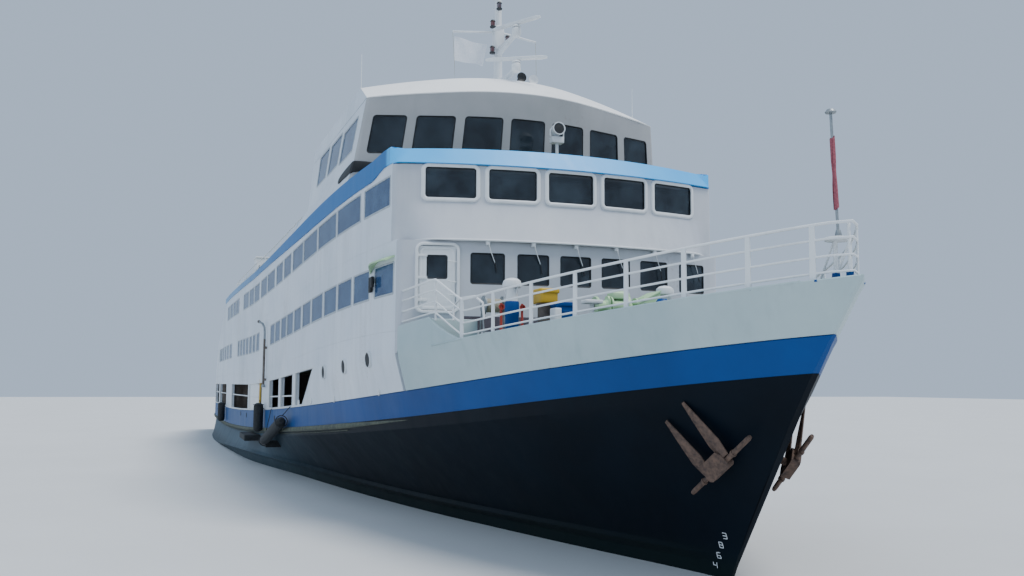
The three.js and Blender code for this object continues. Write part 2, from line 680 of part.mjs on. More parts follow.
// Position of the front's outer face: a bow in the middle that runs out straight to both corners
function wheelFrontAt(y, z) {
  const over = Math.max(0, Math.abs(y) - wheel.straightFrom);
  const middle = Math.min(Math.abs(y), wheel.straightFrom);
  const fall = wheel.bulge * middle * middle + 2 * wheel.bulge * wheel.straightFrom * over;
  return wheel.crown + wheel.rake * (z - wheel.level) - fall;
}
const camberOf = (y, half) => 1 - (y / half) ** 2;
const eaveAt = (y) => eave.side + eave.camber * camberOf(y, 4.6);
const wheelFrontWindows = [[-0.54, 0.54], [0.77, 1.89], [2.14, 3.25], [3.5, 4.45]];
const frontHalf = { foot: 4.84, head: 4.43 };
const wheelFront = loft(steps(-1, 1, 16).map((share) => {
  const foot = share * frontHalf.foot;
  const head = share * frontHalf.head;
  const x0 = wheelFrontAt(foot, wheel.floor);
  const x1 = wheelFrontAt(head, eaveAt(head));
  const high = eaveAt(head) - gap;
  return [
    [x0, foot, wheel.floor], [x1, head, high], [x1 - wallThickness, head, high], [x0 - wallThickness, foot, wheel.floor],
  ];
}));
place('wheelhouse_front', cut(wheelFront, ...frontCuts(wheelFrontWindows, wheel.sill, wheel.head)), paint.white);

// First and last position of each window in the wheelhouse's side
const wheelSideWindows = [[13.35, 15.3], [11.2, 12.95], [9.2, 10.9]];
const wheelSideSill = 10.35;
const wheelSideHead = 11.42;
for (const [name, side] of sides) {
  const foot = (x) => [x, sideHalf(x), bandTopAt(x) + gap];
  const knuckle = (x) => [x, wheelHalfAt(x, wheel.knuckle), wheel.knuckle];
  const head = (x) => [x, wheelHalfAt(x, eave.side), eave.side - gap];
  const ring = (outer) => [
    ...outer.map(([x, y, z]) => [x, side * y, z]),
    ...outer.map(([x, y, z]) => [x, side * (y - wallThickness), z]).reverse(),
  ];
  const corner = [
    [wheelFrontAt(4.95, 9.3), sideHalf(16.4) - 0.03, bandTopAt(16.4) + gap],
    [wheelFrontAt(4.83, wheel.knuckle), wheelHalfAt(wheel.corner, wheel.knuckle), wheel.knuckle],
    [wheelFrontAt(4.57, eave.side), wheelHalfAt(wheel.corner, eave.side), eave.side - gap],
  ];
  const wall = loft([...steps(wheel.back, 15.9, 4).map((x) => ring([foot(x), knuckle(x), head(x)])), ring(corner)]);
  const screen = loft([6.9, wheel.back + 0.05].map((x) => {
    const share = (x - 6.9) / 0.75;
    const [, y] = foot(x);
    const high = 9.0 + 0.45 * share;
    const inward = (high - foot(x)[2]) * 0.5;
    return ring([foot(x), [x, y - inward, high]]);
  }));
  const cuts = wheelSideWindows.map(([x0, x1]) => {
    const [y0, y1] = [side * 4, side * 6].sort((a, b) => a - b);
    return box(x0, x1, y0, y1, wheelSideSill, wheelSideHead);
  });
  place(`wheelhouse_side_${name}`, cut(join(wall, screen), ...cuts), paint.white);
}

// The wheelhouse's glass: one sheet that stands behind the front and turns along both sides
const wheelGlassInset = wallThickness + innerGap;
const wheelGlass = { aft: 9.05, turn: 15.9, frontHalf: 4.3, low: 9.98, high: 11.48 };
const glassSide = (x, side) => (z) => [x, side * (wheelHalfAt(x, z) - wheelGlassInset)];
const glassFront = (y) => (z) => {
  const narrow = y * (1 - 0.03 * (z - wheelGlass.low));
  return [wheelFrontAt(narrow, z) - wheelGlassInset, narrow];
};
const wheelGlassPath = [
  glassSide(wheelGlass.aft, -1),
  glassSide(wheelGlass.turn, -1),
  ...steps(-wheelGlass.frontHalf, wheelGlass.frontHalf, 12).map((y) => glassFront(y)),
  glassSide(wheelGlass.turn, 1),
  glassSide(wheelGlass.aft, 1),
];
place('wheelhouse_glass', loft(wheelGlassPath.map((at, i) => {
  const before = wheelGlassPath[Math.max(0, i - 1)];
  const after = wheelGlassPath[Math.min(wheelGlassPath.length - 1, i + 1)];
  const pair = (z) => {
    const [x, y] = at(z);
    const [px, py] = before(z);
    const [qx, qy] = after(z);
    const length = Math.hypot(qx - px, qy - py);
    return [[x, y, z], [x - glassThickness * (qy - py) / length, y + glassThickness * (qx - px) / length, z]];
  };
  const [lowOuter, lowInner] = pair(wheelGlass.low);
  const [highOuter, highInner] = pair(wheelGlass.high);
  return [lowOuter, highOuter, highInner, lowInner];
})), paint.glass);

const backDoor = { y0: 1.2, y1: 2.1, low: 9.2, high: 11.1 };
const backHalf = [[8.35, 5.2], [wheel.knuckle, 4.8], [eave.side - gap, 4.6]];
const backRing = (x) => [
  ...backHalf.map(([z, y]) => [x, y, z]),
  ...backHalf.map(([z, y]) => [x, -y, z]).reverse(),
];
const wheelBack = loft([wheel.back + gap, wheel.back + wallThickness].map((x) => backRing(x)));
place(
  'wheelhouse_back',
  cut(wheelBack, box(7, 8.5, backDoor.y0, backDoor.y1, backDoor.low, backDoor.high)),
  paint.white,
);

// The roof: its sides stand flush on the wheelhouse's, and its fascia slopes back to a cambered top
const roofLook = {
  foreHalf: wheelHalfAt(wheel.corner, eave.side), topHalf: wheelHalfAt(15.1, roofTop.side),
  aftHalf: wheelHalfAt(wheel.back, eave.side), aftTopHalf: wheelHalfAt(wheel.back, roofTop.side),
  aft: wheel.back - 0.06, aftDrop: 0.15,
};
const mastPad = box(14.2, 15.9, -0.9, 0.9, roofTop.side, roofTop.pad);
const roof = loft(steps(-1, 1, 12).map((share) => {
  const rise = 1 - share * share;
  const foot = share * roofLook.foreHalf;
  const head = share * roofLook.topHalf;
  const low = eave.side + gap + eave.camber * rise;
  const high = roofTop.side + roofTop.camber * rise;
  return [
    [wheelFrontAt(foot, eave.side) + 0.03, foot, low],
    [wheelFrontAt(head, roofTop.side) - roofTop.slope, head, high],
    [roofLook.aft, share * roofLook.aftTopHalf, high - roofLook.aftDrop],
    [roofLook.aft, share * roofLook.aftHalf, low],
  ];
}));
place('wheelhouse_roof', join(roof, mastPad), paint.white);

// Rails
const railRadius = 0.035;
const bowRail = { rise: 0.855, inset: 0.12, aft: 20.83, corner: 22.53, knee: 23.71, fore: 31.0 };
const railShares = [0.12, 0.41, 0.72, 1];
const railPosts = [24.88, 26.09, 27.25, 28.39, 29.5, 30.52];
const post = { halfWidth: 0.065, halfThick: 0.025 };

// The height that the rail stands on: the wing's top, a straight fall to the knee, and the plating's top
function railBase(x) {
  const wingTop = platingTopAt(x) + wing.rise;
  const fall = THREE.MathUtils.clamp((x - bowRail.corner) / (bowRail.knee - bowRail.corner), 0, 1);
  return wingTop - wing.rise * fall;
}
const bowRails = sides.map(([, side]) => {
  const stations = [bowRail.aft, bowRail.corner, bowRail.knee, ...railPosts, bowRail.fore];
  const stemEnd = (share) => [31.75, side * 0.02, railBase(31.7) + bowRail.rise * share];
  const bars = railShares.map((share) => bar([
    ...stations.map((x) => [x, side * (sideHalf(x) - bowRail.inset), railBase(x) + bowRail.rise * share]),
    stemEnd(share),
  ], railRadius, 4));
  const upright = (x, half) => {
    const y = side * (sideHalf(x) - bowRail.inset);
    const foot = Math.max(edgeTopAt(x - half), edgeTopAt(x + half)) + 0.006;
    return box(x - half, x + half, y - post.halfThick, y + post.halfThick, foot, railBase(x) + bowRail.rise);
  };
  return join(
    ...bars,
    upright(bowRail.corner, railRadius),
    upright(bowRail.knee, post.halfWidth),
    ...railPosts.map((x) => upright(x, post.halfWidth)),
  );
});
const noseFoot = edgeTopAt(31.8) + 0.012;
const nosePost = box(31.66, 31.78, -0.03, 0.03, noseFoot, railBase(31.7) + bowRail.rise);
const platform = { x: 31.48, radius: 0.25, low: 5.69, high: 5.74 };
const platformLeg = box(31.38, 31.5, -0.05, 0.05, noseFoot, platform.low + 0.02);
const { low: plateLow, high: plateHigh, radius: plateRadius } = platform;
const plateProfile = [[0, plateLow], [plateRadius, plateLow], [plateRadius, plateHigh], [0, plateHigh]];
const bowPlatform = turned(platform.x, 0, plateProfile, 14);

// The jackstaff stands on the platform and leans a little aft
const staff = { foot: 5.72, top: 7.76, lean: 0.05, radius: 0.028 };
const staffAt = (z) => [platform.x - staff.lean * (z - staff.foot), 0, z];
const jackstaff = join(
  rod(staffAt(staff.foot), staffAt(staff.top), staff.radius, 8),
  rod(staffAt(staff.top - 0.04), staffAt(staff.top), 0.09, 10),
);
place('bow_rail', join(...bowRails, nosePost, platformLeg, bowPlatform, jackstaff), paint.rail);

// Rails of the roof deck: along both sides and across the stern
const roofRailBars = [0.45, 0.9].map((rise) => bar([
  ...steps(7.0, -16.4, 6).map((x) => [x, -(sideHalf(x) - 0.55), bandTopAt(x) + rise]),
  ...steps(-16.4, 7.0, 6).map((x) => [x, sideHalf(x) - 0.55, bandTopAt(x) + rise]),
], railRadius, 4));
const roofRailPosts = sides.flatMap(([, side]) => steps(6.9, -16.3, 9).map((x) => {
  const y = side * (sideHalf(x) - 0.55);
  return box(x - 0.03, x + 0.03, y - 0.03, y + 0.03, roofDeckAt(x) + 0.012, bandTopAt(x) + 0.92);
}));
place('roof_rail', join(...roofRailBars, ...roofRailPosts), paint.rail);

// Mast with its yard, brackets, scanner pedestals and lamps
const mast = { x: 15.0, top: 17.2, foot: roofTop.pad + gap };
const scanner = { x: 16.75, lower: 13.22, upper: 14.34, hubRadius: 0.14, reach: 0.94 };
const mastPole = rod([mast.x, 0, mast.foot], [mast.x, 0, mast.top], 0.16, 10, 0.09);
const brackets = [scanner.lower, scanner.upper].flatMap((z) => [
  rod([mast.x, 0, z - 0.3], [scanner.x - 0.05, 0, z - 0.16], 0.085, 6),
  rod([scanner.x, 0, z - 0.27], [scanner.x, 0, z], 0.14, 10),
]);
const yardLook = { x: 15.1, sweep: 0.45, half: 1.43, z: 14.77 };
const yardEnd = (side) => [yardLook.x - yardLook.sweep, side * yardLook.half, yardLook.z];
const yard = bar([yardEnd(starboard), [yardLook.x, 0, yardLook.z], yardEnd(port)], 0.04, 5);
const mastLamps = [15.6, 16.2, 16.8].map((z) => box(mast.x, mast.x + 0.34, -0.11, 0.11, z, z + 0.24));
place('mast', join(mastPole, ...brackets, yard, ...mastLamps), paint.white);

const scannerClear = 0.012;
for (const [name, z, angle] of [['lower', scanner.lower, 1.07], ['upper', scanner.upper, 0.565]]) {
  const z0 = z + scannerClear;
  const hub = rod([scanner.x, 0, z0], [scanner.x, 0, z0 + 0.08], scanner.hubRadius, 10);
  const reach = [Math.cos(angle) * scanner.reach, Math.sin(angle) * scanner.reach];
  const end = (s) => [scanner.x + s * reach[0], s * reach[1], z0 + 0.13];
  place(`radar_scanner_${name}`, join(hub, bar([end(-1), end(1)], 0.09, 4)), paint.white);
}
place('mast_flag', box(14.64, 14.68, -1.42, -0.42, 13.8, 14.6), paint.flagWhite);

// Searchlight on the roof deck, ahead of the wheelhouse
const light = { x: 19.0, y: 0.4, yoke: 10.3, z: 10.61, radius: 0.17 };
const lightPost = rod([light.x, light.y, roofDeckAt(19) + gap], [light.x, light.y, light.yoke], 0.05, 8);
const lightYoke = box(light.x - 0.1, light.x + 0.1, light.y - 0.17, light.y + 0.17, light.yoke - 0.1, 10.5);
const lightDrum = rod([light.x - 0.2, light.y, light.z], [light.x + 0.18, light.y, light.z], light.radius, 12);
place('searchlight', join(lightPost, lightYoke, lightDrum), paint.white);

// Furled flag on the jackstaff
const furled = rod(staffAt(6.1), staffAt(7.35), 0.07, 10);
place('jack_flag', cut(furled, rod(staffAt(6.0), staffAt(7.45), staff.radius + 0.007, 8)), paint.red);

// Forecastle gear
const deckAt = (x) => platingTopAt(x) + 0.012;
const windlassX = 24.3;
const barrel = (y0, y1, radius) => rod([windlassX, y0, 5.17], [windlassX, y1, 5.17], radius, 12);
const windlass = join(
  box(windlassX - 0.4, windlassX + 0.4, -0.55, 0.62, deckAt(windlassX + 0.4), 4.95),
  barrel(-0.6, 0.3, 0.17),
  barrel(-0.86, -0.78, 0.2),
  barrel(-0.8, -0.55, 0.14),
  box(windlassX - 0.15, windlassX + 0.1, -0.5, -0.1, 5.25, 5.47),
  box(windlassX - 0.35, windlassX + 0.3, 0.12, 0.6, 4.9, 5.52),
);
place('windlass', windlass, paint.green);
const ventilators = [['starboard', 23.94, -2.66, 5.78], ['port', 24.2, 1.0, 5.72]];
for (const [name, x, y, top] of ventilators) {
  const z = deckAt(x + 0.3);
  const profile = [
    [0, z], [0.15, z], [0.15, top - 0.6], [0.13, top - 0.58], [0.13, top - 0.22], [0.2, top - 0.2], [0.21, top - 0.1],
    [0.15, top - 0.02], [0, top],
  ];
  place(`ventilator_${name}`, turned(x, y, profile, 14), paint.white);
}
const drum = rod([23.9, -1.87, deckAt(24.1)], [23.9, -1.87, 5.25], 0.17, 10);
const tray = box(23.6, 24.2, -2.07, -1.67, 5.22, 5.54);
place('deck_box_yellow', join(drum, tray), paint.yellow);
place('deck_box_blue', box(24.25, 24.62, -1.87, -1.48, deckAt(24.65), 5.23), paint.strakeBlue);
const reel = { x: 22.6, z: 5.27, radius: 0.225, aside: -2.88, inside: -2.42 };
const reelDisc = (y) => rod([reel.x, y, reel.z], [reel.x, y + 0.05, reel.z], reel.radius, 14);
place('rope_reel', join(
  rod([reel.x, reel.aside, reel.z], [reel.x, reel.inside, reel.z], 0.11, 12),
  reelDisc(reel.aside - 0.03),
  reelDisc(reel.inside - 0.02),
  box(reel.x - 0.08, reel.x + 0.08, reel.aside + 0.08, reel.inside - 0.08, deckAt(22.9), reel.z),
), paint.steel);

// Anchors stowed against the bow. Each lies in a plane of its own: along the stock, up the flukes, and
// out from the hull. The shank runs back into the hull at the crown
const anchor = {
  origin: [28.416, 0.841, 1.57],
  alongStock: [0.8068, -0.1277, 0.5764],
  upFlukes: [-0.46, 0.476, 0.748],
  stockLength: 1.832,
  stockRadius: 0.045,
};
// First and last position of each fluke along the stock, at its root and at its point
const flukes = [
  { root: [0.43, 0.74], tip: [0.6, 0.66] },
  { root: [0.98, 1.29], tip: [1.18, 1.24] },
];
const fluke = { rootAt: 0.06, broadAt: 0.3, tipAt: 1.2, thick: 0.055 };
for (const [name, side] of sides) {
  const origin = new THREE.Vector3(...anchor.origin);
  const along = new THREE.Vector3(...anchor.alongStock).normalize();
  const up = new THREE.Vector3(...anchor.upFlukes).normalize();
  const out = up.clone().cross(along).normalize();
  const at = (s, l, n) => {
    const p = origin.clone().addScaledVector(along, s).addScaledVector(up, l).addScaledVector(out, n);
    return [p.x, side * p.y, p.z];
  };
  const slab = (s0, s1, l, half) => [at(s0, l, -half), at(s1, l, -half), at(s1, l, half), at(s0, l, half)];
  const blades = flukes.map(({ root, tip }) => loft([
    slab(root[0] + 0.06, root[1] - 0.06, fluke.rootAt, fluke.thick),
    slab(root[0], root[1], fluke.broadAt, fluke.thick * 0.8),
    slab(tip[0], tip[1], fluke.tipAt, fluke.thick * 0.3),
  ]));
  place(`anchor_${name}`, join(
    rod(at(0, 0, 0), at(anchor.stockLength, 0, 0), anchor.stockRadius, 8),
    ...blades,
    loft([slab(0.56, 1.14, -0.1, 0.08), slab(0.62, 1.08, 0.2, 0.07)]),
    rod(at(0.85, 0.02, 0), at(0.85, 0.04, -0.16), 0.07, 8),
  ), paint.rust);
}

// Fenders on the starboard side
const fenders = [
  ['aft', [-13.9, -6.74, 1.3], [-13.9, -6.74, 2.35]],
  ['middle', [2.9, -6.14, 1.5], [2.9, -6.14, 2.65]],
  ['slanting', [4.6, -6.05, 1.2], [8.9, -5.85, 2.15]],
];
for (const [name, low, high] of fenders) {
  place(`fender_${name}`, rod(low, high, 0.2, 10), paint.rubber);
}
place('boarding_davit', bar([[3.0, -6.02, 3.3], [3.0, -6.02, 5.6], [2.35, -6.2, 6.0]], 0.05, 6), paint.hullBlack);

// Propellers and rudders
for (const [name, side] of sides) {
  const y = side * shaft.y;
  const hub = rod([shaft.propellerX - 0.25, y, shaft.z], [shaft.propellerX + 0.18, y, shaft.z], 0.15, 12);
  const blades = steps(0, 1.5 * Math.PI, 3).map((angle) => {
    const out = [Math.cos(angle), Math.sin(angle)];
    const turn = side * 0.11;
    const ring = (r, half) => [[-0.06, -half], [0.06, -half], [0.06, half], [-0.06, half]].map(([along, wide]) => [
      shaft.propellerX + along * 0.3 + turn * wide * 4,
      y + out[0] * r - out[1] * wide,
      shaft.z + out[1] * r + out[0] * wide,
    ]);
    return loft([ring(0.1, 0.1), ring(0.45, 0.28), ring(0.7, 0.14)]);
  });
  place(`propeller_${name}`, join(hub, ...blades), paint.bronze);
  const stock = rod([rudderX, y, -2.2], [rudderX, y, -0.62], 0.08, 8);
  const blade = loft([-2.3, -0.95].map((z) => [
    [rudderX + 0.4, y, z], [rudderX + 0.15, y + 0.1, z], [rudderX - 0.75, y + 0.01, z],
    [rudderX - 0.75, y - 0.01, z], [rudderX + 0.15, y - 0.1, z],
  ]));
  place(`rudder_${name}`, join(blade, stock), paint.hullBlack);
}

// Doors
const doorClear = 0.014;
place('front_door', frontPanel(
  door.y0 + doorClear,
  door.y1 - doorClear,
  frontTwo.crown - 0.01,
  frontTwo.bulge,
  () => door.low + doorClear,
  door.high - doorClear,
  0.05,
), paint.white);
place('wheelhouse_door', box(
  wheel.back + gap + 0.01,
  wheel.back + 0.06,
  backDoor.y0 + doorClear,
  backDoor.y1 - doorClear,
  backDoor.low + doorClear,
  backDoor.high - doorClear,
), paint.white);
place('aft_door', box(
  aftWallTwo + 0.01,
  aftWallTwo + 0.06,
  -doorWidth / 2 + doorClear,
  doorWidth / 2 - doorClear,
  deckTwo + gap + 0.15 + doorClear,
  deckTwo + gap + 0.15 + doorHeight - doorClear,
), paint.white);

export default object;
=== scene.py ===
import math
import bpy
import numpy as np
from mathutils import Matrix, Vector


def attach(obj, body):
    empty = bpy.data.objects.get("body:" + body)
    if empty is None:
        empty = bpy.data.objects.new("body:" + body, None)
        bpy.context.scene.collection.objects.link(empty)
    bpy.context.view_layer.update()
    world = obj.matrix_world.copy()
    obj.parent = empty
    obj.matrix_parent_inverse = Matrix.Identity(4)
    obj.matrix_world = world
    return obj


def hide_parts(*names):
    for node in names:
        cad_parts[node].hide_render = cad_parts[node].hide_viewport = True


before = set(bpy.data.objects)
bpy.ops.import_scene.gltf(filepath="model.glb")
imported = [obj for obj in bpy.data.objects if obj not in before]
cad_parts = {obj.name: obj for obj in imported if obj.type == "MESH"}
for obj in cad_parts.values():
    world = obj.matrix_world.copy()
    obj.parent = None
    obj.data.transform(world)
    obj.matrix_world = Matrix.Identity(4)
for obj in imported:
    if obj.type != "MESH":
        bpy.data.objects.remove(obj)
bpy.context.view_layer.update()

scene = bpy.context.scene
modelScale = 0.5         # shapes below are in the real ship's metres, and the model is half of that

camera = dict(place=(21.815, -4.828, 1.738), yaw=0.3414, pitch=0.0992, roll=0.0046,
              focalPixels=961.98, imageWidth=1024, sensor=36.0)


def addCamera(look):
    forward = Vector((-math.cos(look["yaw"]) * math.cos(look["pitch"]),
                      math.sin(look["yaw"]) * math.cos(look["pitch"]), math.sin(look["pitch"])))
    right = forward.cross(Vector((0, 0, 1))).normalized()
    above = right.cross(forward)
    c, s = math.cos(look["roll"]), math.sin(look["roll"])
    across, up = c * right + s * above, c * above - s * right
    turn = Matrix((across, up, -forward)).transposed().to_4x4()
    lens = bpy.data.cameras.new("photoView")
    lens.sensor_width = look["sensor"]
    lens.lens = look["focalPixels"] * look["sensor"] / look["imageWidth"]
    lens.clip_end = 2000
    holder = bpy.data.objects.new("photoView", lens)
    holder.matrix_world = Matrix.Translation(look["place"]) @ turn
    scene.collection.objects.link(holder)
    scene.camera = holder


addCamera(camera)


# Quads of a grid of points, rows by columns; either way round may close on itself
def gridFaces(rows, cols, wrapRows=False, wrapCols=False):
    i, j = np.meshgrid(np.arange(rows if wrapRows else rows - 1),
                       np.arange(cols if wrapCols else cols - 1), indexing="ij")
    i2, j2 = (i + 1) % rows, (j + 1) % cols
    return np.stack([i * cols + j, i * cols + j2, i2 * cols + j2, i2 * cols + j], -1).reshape(-1, 4)


# Volume under the faces, positive when they face outwards
def volumeOf(points, faces):
    total = 0.0
    for face in faces:
        p = points[face]
        total += np.sum(np.cross(p[1:-1], p[2:]) @ p[0]) if len(face) > 2 else 0
    return total


# A part is its points and its faces; a closed one is turned to face outwards
def closedPart(points, faces):
    centre = points.mean(0)
    if volumeOf(points - centre, faces) < 0:
        faces = [list(reversed(face)) for face in faces]
    return points, faces


# Rows of points joined into a skin, closed round each row, with a flat cap at both ends
def loft(rows, capped=True, around=False):
    rows = np.asarray(rows, float)
    m, n = rows.shape[:2]
    faces = gridFaces(m, n, wrapRows=around, wrapCols=True).tolist()
    if capped and not around:
        faces += [list(range(n))[::-1], list(range((m - 1) * n, m * n))]
    return closedPart(rows.reshape(-1, 3), faces)


# Unit vectors along, across and above a path; above leans to the given direction
def pathFrames(path, above=(0, 0, 1), around=False):
    path = np.asarray(path, float)
    if around:
        along = np.roll(path, -1, 0) - np.roll(path, 1, 0)
    else:
        along = np.gradient(path, axis=0)
    along /= np.linalg.norm(along, axis=1, keepdims=True)
    across = np.cross(along, np.asarray(above, float))
    weak = np.linalg.norm(across, axis=1) < 0.05
    across[weak] = np.cross(along[weak], (1.0, 0.0, 0.0))
    across /= np.linalg.norm(across, axis=1, keepdims=True)
    return along, across, np.cross(across, along)


# A profile of (across, above) pairs carried along a path; scale may vary along it
def sweep(path, profile, above=(0, 0, 1), around=False, scale=1.0):
    path, profile = np.asarray(path, float), np.asarray(profile, float)
    along, across, up = pathFrames(path, above, around)
    size = np.broadcast_to(np.asarray(scale, float), (len(path),))[:, None, None]
    rows = path[:, None] + size * (profile[None, :, :1] * across[:, None] + profile[None, :, 1:] * up[:, None])
    return loft(rows, around=around)


def circle(radius, sides=12):
    angle = np.linspace(0, 2 * np.pi, sides, endpoint=False)
    return np.stack([np.cos(angle), np.sin(angle)], 1) * radius


def tube(path, radius, sides=12, above=(0, 0, 1), around=False, scale=1.0):
    return sweep(path, circle(radius, sides), above, around, scale)


# A profile of (radius, height) pairs turned about an axis through a centre
def turned(profile, centre, axis=(0, 0, 1), sides=32):
    profile = np.array(profile, float)
    profile[:, 0] = np.maximum(profile[:, 0], 1e-4)
    axis = np.asarray(axis, float) / np.linalg.norm(axis)
    side = np.cross(axis, (0, 0, 1) if abs(axis[2]) < 0.9 else (1, 0, 0))
    side /= np.linalg.norm(side)
    other = np.cross(axis, side)
    ring = circle(1.0, sides)
    rows = (np.asarray(centre, float) + profile[:, None, 1:] * axis
            + profile[:, None, :1] * (ring[None, :, :1] * side + ring[None, :, 1:] * other))
    return loft(rows)


# Corner to corner outline of a rectangle with round corners, counter-clockwise from the first corner
def roundRing(x0, x1, y0, y1, radius, perSide=12):
    radius = min(radius, (x1 - x0) / 2.001, (y1 - y0) / 2.001)
    arc = perSide // 4
    ring = []
    corners = [(x0 + radius, y0 + radius, 225), (x1 - radius, y0 + radius, 315),
               (x1 - radius, y1 - radius, 45), (x0 + radius, y1 - radius, 135)]
    for k in range(4):
        cx, cy, start = corners[k]
        nx, ny, _ = corners[(k + 1) % 4]
        turn = np.radians(np.linspace(start, start + 45, arc + 1))
        first = np.stack([cx + radius * np.cos(turn), cy + radius * np.sin(turn)], 1)
        turn = np.radians(np.linspace(start + 45, start + 90, arc + 1))
        last = np.stack([nx + radius * np.cos(turn), ny + radius * np.sin(turn)], 1)
        middle = np.linspace(first[-1], last[0], perSide - 2 * arc + 1)[1:-1]
        ring += [first, middle, last[:-1]]
    return np.concatenate(ring)


# A block with round upright corners and soft edges: rings that grow, rise and shrink again
def block(low, high, radius=0.02, edge=0.01):
    low, high = np.minimum(low, high).astype(float), np.maximum(low, high).astype(float)
    edge = min(edge, (high[2] - low[2]) / 2.1, (high[0] - low[0]) / 2.1, (high[1] - low[1]) / 2.1)
    radius = max(radius, edge * 1.2)
    bend = np.radians(np.linspace(0, 90, 4))
    rings = [(edge * (1 - math.sin(b)), low[2] + edge * (1 - math.cos(b))) for b in bend]
    rings += [(edge * (1 - math.sin(b)), high[2] - edge * (1 - math.cos(b))) for b in bend[::-1]]
    rows = []
    for inset, z in rings:
        ring = roundRing(low[0] + inset, high[0] - inset, low[1] + inset, high[1] - inset,
                         max(radius - inset, 0.001), 8)
        rows.append(np.column_stack([ring, np.full(len(ring), z)]))
    return loft(rows)


def joined(parts):
    points, faces, start = [], [], 0
    for p, f in parts:
        points.append(p)
        faces += [[i + start for i in face] for face in f]
        start += len(p)
    return np.concatenate(points), faces


# Points nearer than the grain become one, and faces that shrink to a line go
def welded(points, faces, grain=1e-4):
    _, keep, back = np.unique(np.round(points / grain), axis=0, return_index=True, return_inverse=True)
    back = back.reshape(-1)
    slim = []
    for face in faces:
        ring = [int(back[i]) for i in face]
        ring = [a for a, b in zip(ring, ring[1:] + ring[:1]) if a != b]
        if len(set(ring)) > 2:
            slim.append(ring)
    return points[keep], slim


# Makes an object of parts, each with its own material; it rides on a body and stands for CAD nodes
def piece(name, parts, materials, body="ship", replaces=(), sharp=32):
    materials = materials if isinstance(materials, list) else [materials]
    groups = parts if isinstance(parts, list) and parts and isinstance(parts[0], list) else [parts]
    points, faces, index, start = [], [], [], 0
    for k, group in enumerate(groups):
        if not group:
            continue
        p, f = joined(group)
        points.append(p)
        faces += [[i + start for i in face] for face in f]
        index += [k] * len(f)
        start += len(p)
    mesh = bpy.data.meshes.new(name)
    mesh.from_pydata((np.concatenate(points) * modelScale).tolist(), [], faces)
    for material in materials:
        mesh.materials.append(material)
    mesh.polygons.foreach_set("material_index", index)
    mesh.polygons.foreach_set("use_smooth", [True] * len(faces))
    mesh.update()
    mesh.set_sharp_from_angle(angle=math.radians(sharp))
    thing = bpy.data.objects.new(name, mesh)
    scene.collection.objects.link(thing)
    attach(thing, body)
    if replaces:
        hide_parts(*([replaces] if isinstance(replaces, str) else replaces))
    return thing


# sRGB hex to the linear colour that the shaders want
def toLinear(colour):
    parts = [int(colour[i:i + 2], 16) / 255 for i in (1, 3, 5)]
    return [c / 12.92 if c <= 0.04045 else ((c + 0.055) / 1.055) ** 2.4 for c in parts] + [1.0]


# Adds a node with its settings, then its inputs: a value, or a link from another node's output
def addNode(tree, kind, inputs=None, **settings):
    node = tree.nodes.new("ShaderNode" + kind)
    for key, value in settings.items():
        setattr(node, key, value)
    for key, value in (inputs or {}).items():
        socket = node.inputs[key]
        if isinstance(value, bpy.types.NodeSocket):
            tree.links.new(value, socket)
        else:
            socket.default_value = value
    return node


def newMaterial(name):
    material = bpy.data.materials.new(name)
    material.use_nodes = True
    tree = material.node_tree
    return material, tree, tree.nodes["Principled BSDF"]


